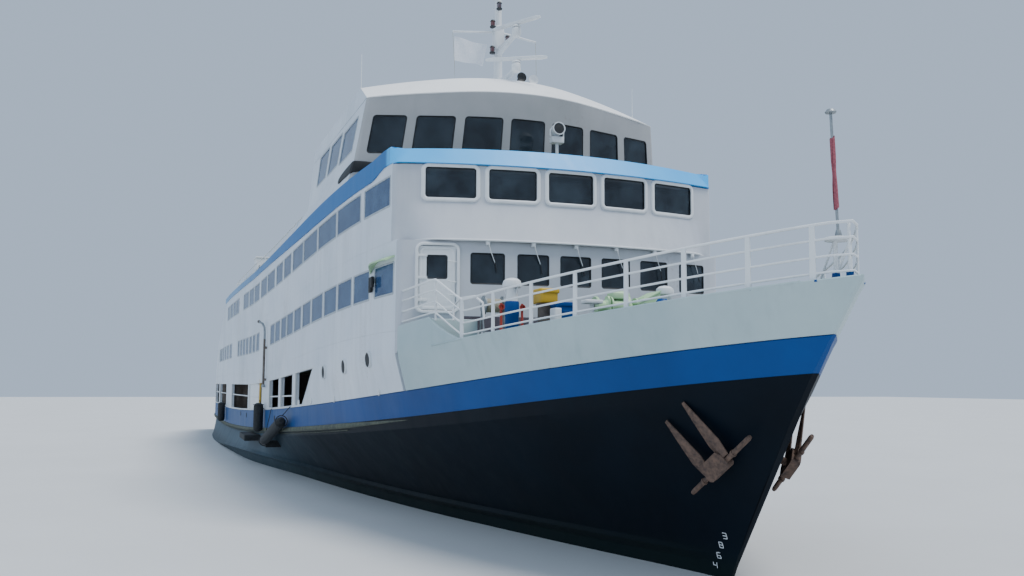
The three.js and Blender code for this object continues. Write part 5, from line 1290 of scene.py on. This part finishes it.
for z in (mast["lower"], mast["upper"]):
    steel.append(bar((mast["x"], 0, z - 0.3), (mast["scannerX"] - 0.1, 0, z - 0.17), 0.085, 16))
    steel.append(bar((mast["x"], 0, z - 0.05), (mast["scannerX"] - 0.5, 0, z - 0.13), 0.03, 10))
    steel.append(turned([(0, z - 0.28), (0.11, z - 0.28), (0.145, z - 0.22), (0.145, z - 0.06), (0.12, z - 0.01),
                         (0, z - 0.01)],
                        (mast["scannerX"], 0, 0), sides=32))
for x, y, z in ((15.2, -0.25, 14.99), (15.2, -0.26, 14.13), (15.3, 0.22, 14.5), (15.25, -0.05, 15.6),
                (15.25, -0.05, 16.2), (15.25, -0.05, 16.75)):
    dark.append(turned([(0, z - 0.13), (0.09, z - 0.13), (0.095, z - 0.09), (0.07, z - 0.07), (0, z - 0.07)],
                       (x, y, 0), sides=20))
    dark.append(turned([(0, z + 0.07), (0.09, z + 0.07), (0.06, z + 0.12), (0, z + 0.13)], (x, y, 0), sides=20))
    lens.append(turned([(0, z - 0.07), (0.068, z - 0.07), (0.075, z), (0.068, z + 0.07), (0, z + 0.07)], (x, y, 0),
                       sides=20))
    steel.append(bar((15.02, y * 0.5, z - 0.1), (x, y, z - 0.11), 0.02, 8))
horn = [(0, 0.0), (0.05, 0.0), (0.055, 0.16), (0.1, 0.24), (0.15, 0.3), (0.155, 0.31), (0.14, 0.3), (0.05, 0.26),
        (0, 0.26)]
dark.append(turned(horn, (15.9, 0.38, 12.99), (1, 0, 0), 32))
steel.append(turned(horn, (16.0, 0.74, 12.92), (1, 0, 0), 28))
steel += [bar((16.0, 0.38, 12.6), (16.0, 0.38, 12.99), 0.03, 8),
          bar((16.1, 0.74, 12.6), (16.1, 0.74, 12.92), 0.025, 8)]
for x, y, z0, z1, radius in ((12.0, -3.87, 12.1, 14.6, 0.02), (16.0, 4.3, 11.95, 13.1, 0.014),
                             (15.0, 0.0, 17.15, 17.6, 0.012)):
    steel.append(bar((x, y, z0), (x, y, z1), radius, 8, 0.5))
    dark.append(turned([(0, z0 - 0.05), (0.05, z0 - 0.05), (0.045, z0 + 0.12), (0.02, z0 + 0.16), (0, z0 + 0.16)],
                       (x, y, 0), sides=16))
piece("mast_steelwork", [steel, dark, lens], [paints["gear"], paints["darkGear"], paints["lens"]],
      replaces="mast")
lines = [tube([yardEnds[0], (14.8, -1.4, 13.7), (14.72, -1.36, 12.55)], 0.006, 6),
         tube([yardEnds[1], (14.8, 1.4, 13.7), (14.72, 1.36, 12.55)], 0.006, 6)]
piece("signal_halyards", lines, paints["rope"])

for name, z, angle, reach in (("lower", mast["lower"], 1.07, 0.95), ("upper", mast["upper"], 0.565, 0.9)):
    c, s = math.cos(angle), math.sin(angle)
    section = np.array([(-0.055, -0.05), (0.03, -0.055), (0.06, -0.03), (0.06, 0.035), (0.02, 0.06),
                        (-0.055, 0.055)])
    spots = np.linspace(-1, 1, 13)
    shrink = np.clip((1.0 - np.abs(spots)) / 0.04, 0.55, 1)
    path = np.stack([mast["scannerX"] + spots * reach * c, spots * reach * s, np.full(13, z + 0.145)], 1)
    hub = turned([(0, z + 0.012), (0.13, z + 0.012), (0.135, z + 0.03), (0.1, z + 0.075), (0.05, z + 0.1),
                  (0, z + 0.1)],
                 (mast["scannerX"], 0, 0), sides=32)
    piece(f"radar_{name}_bar", [sweep(path, section, scale=shrink), hub], paints["gear"],
          body=f"radar_scanner_{name}", replaces=f"radar_scanner_{name}")

# Flag on its halyard: hung from the yard, blown a little aft, with its outer corner curling
u, v = np.meshgrid(np.linspace(0, 1, 41), np.linspace(0, 1, 31))
ripple = 0.045 * u**0.7 * np.sin(9 * u + 2.2 * v) + 0.07 * u**4 * (1 - v)
flagPoints = np.stack([14.66 - 0.18 * u + ripple, -1.37 + 1.14 * u - 0.1 * u**6 * v,
                       14.62 - 0.8 * v - 0.16 * u**1.5 * (1 - v) + 0.06 * u**5 * (1 - v)], -1)
flag = piece("mast_flag_cloth", [clothPart(flagPoints, flagPoints - (0.003, 0, 0))], paints["cloth"],
             replaces="mast_flag")

# Searchlight: drum with rim, glass and rear cap in a yoke on a post
axis = (1, 0, 0.05)
drum = turned([(0, -0.2), (0.1, -0.2), (0.155, -0.13), (0.17, -0.05), (0.17, 0.14), (0.185, 0.15), (0.185, 0.18),
               (0.16, 0.18), (0.15, 0.15), (0, 0.15)], (19.0, 0.42, 10.61), axis, 36)
face = turned([(0, 0.152), (0.15, 0.152), (0.15, 0.165), (0, 0.175)], (19.0, 0.42, 10.61), axis, 36)
yoke = [tube([(19.0, 0.42 - 0.2, 10.62), (19.0, 0.42 - 0.2, 10.42), (19.0, 0.42 - 0.12, 10.36),
              (19.0, 0.42 + 0.12, 10.36),
              (19.0, 0.42 + 0.2, 10.42), (19.0, 0.42 + 0.2, 10.62)], 0.022, 8, above=(1, 0, 0)),
        turned([(0, 8.79), (0.1, 8.79), (0.1, 8.83), (0.045, 8.86), (0.045, 10.2), (0.07, 10.22), (0.07, 10.36),
                (0, 10.37)],
               (19.0, 0.42, 0), sides=24)]
yoke.append(block((18.86, 0.24, 10.22), (19.12, 0.6, 10.4), 0.03, 0.02))
piece("searchlight_drum", [[drum, *yoke], [face]], [paints["gear"], paints["gasket"]],
      replaces="searchlight")
print("mast ready")


# Forecastle gear
deckTop = lambda x: float(platingTopAt(x)) - 0.03


def mushroom(x, y, top):
    z = deckTop(x)
    stem = turned([(0, z), (0.13, z), (0.128, top - 0.58), (0.128, top - 0.24), (0, top - 0.24)], (x, y, 0),
                  sides=32)
    cap = turned([(0, top - 0.24), (0.13, top - 0.22), (0.19, top - 0.22), (0.205, top - 0.2), (0.208, top - 0.14),
                  (0.19, top - 0.07), (0.13, top - 0.025), (0.05, top - 0.005), (0, top)], (x, y, 0), sides=32)
    collar = turned([(0, z - 0.02), (0.2, z - 0.02), (0.2, z + 0.015), (0.155, z + 0.03), (0.15, top - 0.86),
                     (0.158, top - 0.84),
                     (0.158, top - 0.55), (0.145, top - 0.52), (0, top - 0.52)], (x, y, 0), sides=32)
    grip = [bar((x + 0.205 * math.cos(a), y + 0.205 * math.sin(a), top - 0.15),
                (x + 0.135 * math.cos(a), y + 0.135 * math.sin(a), top - 0.36), 0.012, 6) for a in (0.4, 2.5, 4.6)]
    return [stem, cap, *grip], [collar]


for name, x, y, top in (("starboard", 23.94, -2.66, 5.78), ("port", 24.2, 0.95, 5.72)):
    body, collar = mushroom(x, y, top)
    piece(f"ventilator_{name}_cowl", [body, collar], [paints["gear"], paints["blue"]],
          replaces=f"ventilator_{name}")

windlass = dict(x=24.3, z=5.2)
barrelSpin = [(-0.86, 0.2), (-0.84, 0.21), (-0.8, 0.2), (-0.78, 0.13), (-0.62, 0.115), (-0.57, 0.15), (-0.55, 0.2)]
drumSpin = [(-0.5, 0.22), (-0.47, 0.22), (-0.46, 0.14), (-0.12, 0.14), (-0.11, 0.22), (-0.08, 0.22)]
gypsy = [(0.12, 0.2), (0.16, 0.2), (0.19, 0.14), (0.24, 0.14), (0.27, 0.2), (0.31, 0.2)]
green = []
for spin in (barrelSpin, drumSpin, gypsy):
    profile = [(0, spin[0][0])] + [(r, y) for y, r in spin] + [(0, spin[-1][0])]
    green.append(turned(profile, (windlass["x"], 0, windlass["z"]), (0, 1, 0), 32))
green.append(bar((windlass["x"], -0.86, windlass["z"]), (windlass["x"], 0.6, windlass["z"]), 0.05, 16))
for y in (-0.54, -0.03, 0.36):
    cheek = [(windlass["x"] - 0.28, 4.62), (windlass["x"] + 0.28, 4.62), (windlass["x"] + 0.14, 5.3),
             (windlass["x"] + 0.06, 5.42), (windlass["x"] - 0.06, 5.42), (windlass["x"] - 0.14, 5.3)]
    green.append(loft([[(px, yy, pz) for px, pz in cheek] for yy in (y - 0.02, y + 0.02)]))
green += [block((windlass["x"] - 0.36, -0.6, 4.55), (windlass["x"] + 0.36, 0.62, 4.68), 0.03, 0.015),
          block((windlass["x"] - 0.2, -0.46, 5.36), (windlass["x"] + 0.12, -0.12, 5.5), 0.03, 0.02),
          turned([(0, -0.04), (0.1, -0.04), (0.11, 0), (0.11, 0.24), (0.07, 0.3), (0, 0.3)],
                 (windlass["x"] - 0.04, -0.3, 5.44), (0, 1, 0), 24)]
# Sloped cover of the gear case: it rises towards port
cover = [(-0.34, 0.1, 5.25), (0.3, 0.1, 5.25), (0.3, 0.62, 5.53), (-0.34, 0.62, 5.53)]
green.append(loft([[(windlass["x"] + a, b, c - d) for a, b, c in cover] for d in (0.0, 0.5)]))
green.append(loft([[(windlass["x"] + a * 1.06, 0.36 + (b - 0.36) * 1.06, c + d) for a, b, c in cover]
                   for d in (0.0, 0.03)]))
iron = [tube([(windlass["x"] + 0.2, -0.3, 5.1), (25.2, -0.28, 4.95), (26.6, -0.25, 4.93), (28.6, -0.2, 5.03)],
             0.035, 8)]
piece("windlass_machine", [green, iron], [paints["green"], paints["iron"]], replaces="windlass")

yellowParts = [block((23.6, -2.07, 5.24), (24.2, -1.67, 5.52), 0.05, 0.03),
               block((23.57, -2.1, 5.45), (24.23, -1.64, 5.56), 0.05, 0.03)]
drumParts = [turned([(0, 4.48), (0.17, 4.48), (0.18, 4.5), (0.17, 4.53), (0.165, 4.8), (0.175, 4.82), (0.165, 4.84),
                     (0.165, 5.18), (0.2, 5.2), (0.2, 5.24), (0, 5.24)], (23.9, -1.87, 0), sides=32)]
piece("deck_box_yellow_tray", [yellowParts, drumParts], [paints["yellow"], paints["drum"]],
      replaces="deck_box_yellow")
piece("deck_box_blue_chest", [block((24.25, -1.87, 4.53), (24.62, -1.48, 5.15), 0.03, 0.02),
                              block((24.23, -1.89, 5.13), (24.64, -1.46, 5.23), 0.03, 0.02),
                              tube([(24.63, -1.75, 5.0), (24.68, -1.75, 5.02), (24.68, -1.6, 5.02),
                                    (24.63, -1.6, 5.0)], 0.012, 8)],
      paints["blue"], replaces="deck_box_blue")

reelDisc = [(0, -0.02), (0.1, -0.02), (0.11, -0.035), (0.2, -0.012), (0.222, -0.02), (0.228, 0), (0.222, 0.02),
            (0.2, 0.012), (0.11, 0.03), (0.1, 0.02), (0, 0.02)]
reelParts = [turned(reelDisc, (22.6, y, 5.27), (0, 1, 0), 36) for y in (-2.87, -2.42)]
reelParts += [bar((22.6, -2.9, 5.27), (22.6, -2.38, 5.27), 0.035, 12)]
for y in (-2.91, -2.38):
    for dx in (-0.2, 0.2):
        reelParts.append(bar((22.6 + dx, y, 4.4), (22.6, y, 5.27), 0.02, 8))
angle = np.linspace(0, 2 * np.pi * 11, 330)
coil = np.stack([22.6 + 0.145 * np.cos(angle), -2.83 + 0.37 * angle / angle[-1], 5.27 + 0.145 * np.sin(angle)], 1)
piece("rope_reel_frame", [reelParts, [tube(coil, 0.019, 6, above=(0, 1, 0.02))]], [paints["steel"], paints["rope"]],
      replaces="rope_reel")

# Bollards, fairleads and caps between the rail and the fronts
red, blueCaps, pale = [], [], []
for x, y, height in ((24.5, -3.1, 0.72), (24.5, -2.63, 0.72)):  # valve stands with their small hand wheels
    z = deckTop(x)
    red.append(turned([(0, z), (0.045, z), (0.03, z + 0.03), (0.026, z + height), (0, z + height)], (x, y, 0),
                      sides=20))
    red.append(turned([(0.045, -0.012), (0.065, -0.012), (0.065, 0.012), (0.045, 0.012), (0.045, -0.012)],
                      (x + 0.03, y, z + height - 0.08), (1, 0, 0.1), 24))
for x, y in ((26.0, -0.42), (26.6, -0.42)):
    z = deckTop(x)
    blueCaps.append(turned([(0, z), (0.1, z), (0.08, z + 0.2), (0.06, z + 0.42), (0.12, z + 0.44), (0.13, z + 0.5),
                            (0.09, z + 0.56), (0, z + 0.57)], (x, y, 0), sides=24))
pale += [block((24.55, -2.02, 4.6), (24.85, -1.86, 5.08), 0.03, 0.02),
         block((25.0, -1.5, 5.16), (25.3, -1.1, 5.24), 0.03, 0.02),
         bar((25.15, -1.3, 4.6), (25.15, -1.3, 5.18), 0.05, 12)]
piece("mooring_fittings", [red, blueCaps, pale], [paints["redGear"], paints["blue"], paints["gear"]])
print("foredeck ready")

# Anchors: a stock across the crown, two flukes with a stiffening rib, and the shank's eye against the hull
anchor = dict(origin=(28.416, 0.841, 1.57), stock=(0.8068, -0.1277, 0.5764), flukes=(-0.46, 0.476, 0.748),
              length=1.832)
flukeRows = [dict(root=(0.43, 0.74), tip=(0.6, 0.66)), dict(root=(0.98, 1.29), tip=(1.18, 1.24))]
alongStock = np.array(anchor["stock"]) / np.linalg.norm(anchor["stock"])
upFlukes = np.array(anchor["flukes"]) - np.dot(anchor["flukes"], alongStock) * alongStock
upFlukes /= np.linalg.norm(upFlukes)
offHull = np.cross(upFlukes, alongStock)


def anchorMap(side):
    def at(s, l, n=0.0):
        return (np.array(anchor["origin"]) + alongStock * s + upFlukes * l + offHull * n) * (1, side, 1)
    return at


for sideName, side in (("starboard", -1), ("port", 1)):
    onAnchor = anchorMap(side)
    parts = [tube([onAnchor(s, 0) for s in (0, 0.05, 0.9, 1.78, anchor["length"])], 0.045, 14,
                  above=offHull * (1, side, 1), scale=np.array([0.75, 1, 1.05, 1, 0.75]))]
    for row in flukeRows:
        (a, b), (c, d) = row["root"], row["tip"]
        blade = []
        for t in np.linspace(0, 1, 9):
            left, right = a + (c - a) * t**1.3, b + (d - b) * t**1.1
            l, thick = 0.06 + 1.14 * t, 0.05 * (1 - t) ** 0.7 + 0.012
            waist = 0.06 * (1 - min(1, t * 4))
            mid = (left + right) / 2
            blade.append([onAnchor(left + waist, l, -0.01), onAnchor(mid, l, -thick),
                          onAnchor(right - waist, l, -0.01),
                          onAnchor(right - waist, l, 0.01), onAnchor(mid, l, thick),
                          onAnchor(left + waist, l, 0.01)])
        parts.append(loft(blade))
    crown = [[onAnchor(s, l, n) for s, n in ((0.56 + g, -0.09), (1.14 - g, -0.09), (1.14 - g, 0.08),
                                             (0.56 + g, 0.08))]
             for l, g in ((-0.12, 0.05), (-0.08, 0.0), (0.12, 0.0), (0.22, 0.07))]
    parts.append(loft(crown))
    parts.append(tube([onAnchor(0.85, 0.02, 0), onAnchor(0.85, 0.04, -0.1), onAnchor(0.85, 0.05, -0.17)], 0.07, 14,
                      above=alongStock * (1, side, 1)))
    parts += [tube([onAnchor(s - 0.02, 0, 0), onAnchor(s + 0.02, 0, 0)], 0.062, 14, above=offHull * (1, side, 1))
              for s in (0.4, 1.32)]
    piece(f"anchor_{sideName}_forging", parts, paints["iron"], replaces=f"anchor_{sideName}")

# Fenders: worn tubes with round ends, slung on rope from the strake's top
fender = dict(radius=0.195, ring=0.205, ringRope=0.018, sling=0.016, places=(
    ("aft", (-13.9, -6.74, 1.3), (-13.9, -6.74, 2.35), (0.94,)),
    ("middle", (2.9, -6.14, 1.5), (2.9, -6.14, 2.65), (0.94,)),
    ("slanting", (4.6, -6.05, 1.2), (8.9, -5.85, 2.15), (0.04, 0.97))))
for name, low, high, slings in fender["places"]:
    low, high = np.array(low), np.array(high)
    spots = np.linspace(0, 1, 23)
    swell = 1 - 0.55 * (np.abs(spots - 0.5) * 2) ** 14 + 0.018 * np.sin(spots * 75)
    body = tube(low + (high - low) * spots[:, None], fender["radius"], 24, above=(0, 1, 0.1), scale=swell)
    lashings = []
    for t in slings:
        centre = low + (high - low) * t
        x = centre[0]
        turn = np.linspace(0, 2 * np.pi, 25)[:-1]
        alongF = (high - low) / np.linalg.norm(high - low)
        sideF = np.cross(alongF, (0, 1, 0))
        sideF /= np.linalg.norm(sideF)
        ring = centre + fender["ring"] * (np.cos(turn)[:, None] * sideF + np.sin(turn)[:, None]
                                          * np.cross(alongF, sideF))
        lashings.append(tube(ring, fender["ringRope"], 6, above=alongF, around=True))
        head = float(strakeTopAt(x)) + 0.02
        edge = -float(shellHalf(x, head))
        lashings.append(tube([centre + (0, 0.02, 0.19), (x, edge - 0.03, head), (x, edge + 0.1, head + 0.03)],
                             fender["sling"], 6))
    piece(f"fender_{name}_rubber", [[body], lashings], [paints["rubber"], paints["darkGear"]],
          replaces=f"fender_{name}")
blocks = [block((x0, -float(ledgeHalf(x0)) - 0.22, 0.98 + dz), (x1, -float(ledgeHalf(x1)) + 0.3, 1.22 + dz), 0.03,
                0.03)
          for x0, x1, dz in ((-1.6, 1.3, 0.05), (2.3, 5.0, 0.0))]
piece("rubbing_blocks", blocks, paints["rubber"])
print("anchors and fenders ready")

# Corrugated screens across the main deck close each bay behind its side openings
screen = dict(places=(-2.6, -10.6, -20.6, -28.8), inner=0.9, gap=0.16, depth=0.03, thick=0.03, folds=41)
screens = []
for x in screen["places"]:
    for side in (-1, 1):
        low, high = float(strakeFootAt(x)) + 0.04, deckHeights["two"] + float(houseSheer(x)) - 0.14
        reach = float(shellHalf(x, 2.6)) - screen["gap"]
        folds = np.linspace(screen["inner"], reach, screen["folds"])
        ripple = screen["depth"] * np.array([(-1, -1, 1, 1)[k % 4] for k in range(screen["folds"])])
        section = [(x + r, side * y) for r, y in zip(ripple, folds)] + [
            (x + r + screen["thick"], side * y) for r, y in zip(ripple[::-1], folds[::-1])]
        screens.append(loft([[(px, py, z) for px, py in section] for z in (low, (low + high) / 2, high)]))
piece("main_deck_screens", screens, paints["drum"])

# Small things along the side: portholes, pads, scuppers, the boarding davit, post, gate, mid rail and light box
glassParts, bezels, pads, dark = [], [], [], []
for side in (-1, 1):
    for x, z in ((14.09, 3.8), (16.45, 3.93), (18.68, 4.08)):
        centre = (x, side * float(shellHalf(x, z)), z)
        out = (float(shellHalf(x - 0.1, z) - shellHalf(x + 0.1, z)) / 0.2, side,
               float(shellHalf(x, z - 0.1) - shellHalf(x, z + 0.1)) / 0.2)
        bezels.append(turned([(0.19, -0.03), (0.215, -0.03), (0.215, 0.042), (0.207, 0.05), (0.195, 0.05),
                              (0.19, 0.04), (0.19, -0.03)],
                             centre, out, 32))
        glassParts.append(turned([(0, -0.02), (0.195, -0.02), (0.195, 0.036), (0, 0.04)], centre, out, 32))
    for x, z in ((12.1, 2.89), (14.98, 3.0), (19.0, 3.25), (10.2, 2.8)):
        pads.append(turned([(0, -0.02), (0.1, -0.02), (0.1, 0.01), (0.085, 0.022), (0, 0.022)],
                           (x, side * float(shellHalf(x, z)), z), (0, side, 0), 24))
    for x, z in ((-5.4, 1.98), (-3.06, 1.97), (-18.0, 1.75), (5.4, 2.1)):
        dark.append(turned([(0, -0.02), (0.12, -0.02), (0.12, 0.006), (0.1, 0.012), (0, 0.012)],
                           (x, side * float(shellHalf(x, z)), z), (0, side, 0), 24))
    for x0, x1 in ((-28.4, -21.6), (-20.4, -14.0), (-10.2, -2.8), (4.0, 6.1), (6.7, 8.9)):
        pads.append(tube(sidePath(side, x0, x1, lambda x: 2.85 + 0.4 * houseSheer(x), -0.07, 16), 0.028, 8))
piece("portholes", [bezels, glassParts], [paints["gear"], paints["gasket"]])
piece("side_pads_and_rails", pads, paints["gear"])
piece("strake_scuppers", dark, paints["gasket"])
davit = [bar((3.0, -5.99, 3.3), (3.0, -5.99, 5.25), 0.05, 16)]
arm = [tube([(3.0, -5.99, 5.2), (3.0, -5.99, 5.5), (2.94, -6.0, 5.72), (2.75, -6.06, 5.9), (2.35, -6.17, 6.0)],
            0.045, 12, above=(0, 1, 0)), turned([(0, 3.28), (0.08, 3.28), (0.08, 3.34), (0.06, 3.4), (0, 3.4)],
                                     (3.0, -5.99, 0), sides=24)]
davit.append(turned([(0, -0.05), (0.06, -0.05), (0.065, 0.06), (0, 0.07)], (2.35, -6.17, 6.0), (-1, -0.2, 0.2), 20))
davit += [block((2.92, -6.03, z - 0.05), (3.08, -5.86, z + 0.05), 0.02, 0.01) for z in (3.6, 4.9)]
piece("boarding_davit_arm", [davit, arm], [paints["drum"], paints["steel"]],
      replaces="boarding_davit")
piece("gate_post", [turned([(0, 2.45), (0.06, 2.45), (0.055, 2.5), (0.055, 3.62), (0.03, 3.67), (0, 3.67)],
                           (1.2, -5.93, 0), sides=20)],
      paints["yellow"])
gate = dict(aft=-2.3, fore=0.7, low=2.3, high=3.42, out=-0.05, inner=-0.09)


def gatePath(z, out, count):
    return sidePath(-1, gate["aft"], gate["fore"], lambda x: 0 * x + z, out, count)


panel = [gatePath(gate[height], gate[face], 20) for height, face in (
    ("low", "out"), ("high", "out"), ("high", "inner"), ("low", "inner"))]
stiffeners = [tube(gatePath(z, -0.04, 12), 0.02, 8) for z in (2.35, 2.85, 3.4)]
piece("gangway_gate", [loft(np.stack(panel, 1)), *stiffeners], paints["gear"])
lampY = -float(sideHalf(18.9))
box = [block((18.78, lampY - 0.1, 5.82), (18.98, lampY - 0.02, 6.22), 0.03, 0.02),
       block((19.02, lampY - 0.1, 5.94), (19.18, lampY - 0.02, 6.22), 0.03, 0.02)]
bracket = [block((18.84, lampY - 0.04, 6.0), (19.12, lampY + 0.02, 6.06), 0.01, 0.01)]
piece("side_light_box", [bracket, box], [paints["gear"], paints["gasket"]])
# Visor over the foremost window: a curved plate that stands out from the side and dips at its aft end
visor = dict(aft=18.72, fore=20.5, low=0.12, lip=0.08)
visorRows = []
for x in np.linspace(visor["aft"], visor["fore"], 24):
    z, y = 6.42 + 0.2 * smooth(x, 18.5, 19.5) - 0.02 * smooth(x, 20.1, 20.6), -float(sideHalf(x))
    reach = 0.04 + 0.2 * smooth(x, 18.7, 19.3)
    visorRows.append([(x, y + 0.02, z + 0.03), (x, y - reach, z - visor["lip"]), (x, y - reach, z - visor["low"]),
                      (x, y - reach + 0.03, z - visor["low"]), (x, y + 0.02, z - 0.01)])
piece("window_drip_brow", [loft(visorRows)], paints["green"])
print("side details ready")

# Propellers: a hub and four blades whose pitch falls towards the tip
for sideName, side in (("starboard", -1), ("port", 1)):
    x0, y0, z0 = -28.3, side * 2.4, -1.6
    blades = [turned([(0, -0.26), (0.11, -0.25), (0.15, -0.16), (0.155, 0.05), (0.13, 0.16), (0, 0.17)],
                     (x0, y0, z0), (1, 0, 0), 28)]
    for k in range(4):
        rows = []
        for r in np.linspace(0.12, 0.7, 10):
            half = 0.02 + 0.27 * math.sin(math.pi * min(1, (r / 0.72) ** 0.8)) ** 0.6
            pitch = side * math.atan2(0.26, r + 0.12)
            thick = 0.03 * (1 - r / 0.78)
            row = []
            for t in np.linspace(0, 2 * np.pi, 16, endpoint=False):
                s, n = half * math.cos(t), thick * math.sin(t)
                ax = s * math.sin(pitch) + n * math.cos(pitch)
                tang = s * math.cos(pitch) - n * math.sin(pitch)
                a = k * math.pi / 2 + tang / max(r, 0.12)
                row.append((x0 + ax * 0.8, y0 + r * math.cos(a), z0 + r * math.sin(a)))
            rows.append(row)
        blades.append(loft(rows))
    piece(f"propeller_{sideName}_casting", blades, paints["bronze"], body=f"propeller_{sideName}",
          replaces=f"propeller_{sideName}")

# CAD nodes that stay as they are get their own finish
for name, finish in (("deck_two", "roofPaint"), ("deck_three", "roofPaint"), ("deck_two_aft", "white"),
                     ("deck_three_aft", "white"), ("wheelhouse_back", "white"), ("wheelhouse_door", "gear"),
                     ("aft_door", "gear"), ("rudder_starboard", "hullBlack"), ("rudder_port", "hullBlack")):
    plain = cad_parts[name].data.materials
    plain.clear()
    plain.append(paints[finish])
print("finishes ready")

ground = dict(reach=200, thick=0.4)
corners = [(x * ground["reach"], y * ground["reach"]) for x, y in ((-1, -1), (1, -1), (1, 1), (-1, 1))]
floorSlab = loft([[(x, y, z) for x, y in corners] for z in (0, -ground["thick"])])
floor = piece("studio_floor", [floorSlab], grainFinish("paleStudioFloor", dict(colour="#cfd1d2", darker="#cbcdce",
                                                                               scale=0.3,
                                                                       roughness=0.7, bump=0.02)))


def addLight(kind, name, turn, **settings):
    lamp = bpy.data.lights.new(name, kind)
    for key, value in settings.items():
        setattr(lamp, key, value)
    holder = bpy.data.objects.new(name, lamp)
    holder.rotation_euler = [math.radians(v) for v in turn]
    scene.collection.objects.link(holder)
    return holder


addLight("SUN", "studioKey", (24, 0, 140), energy=3.0, angle=math.radians(25), color=(1.0, 0.98, 0.95))
addLight("SUN", "studioFill", (60, 0, 20), energy=0.6, angle=math.radians(60), color=(0.75, 0.88, 1.0))
world = bpy.data.worlds.new("studio")
scene.world = world
world.use_nodes = True
sky = world.node_tree
background = sky.nodes["Background"]
background.inputs["Strength"].default_value = 0.85
background.inputs["Color"].default_value = toLinear("#c3d8f2")
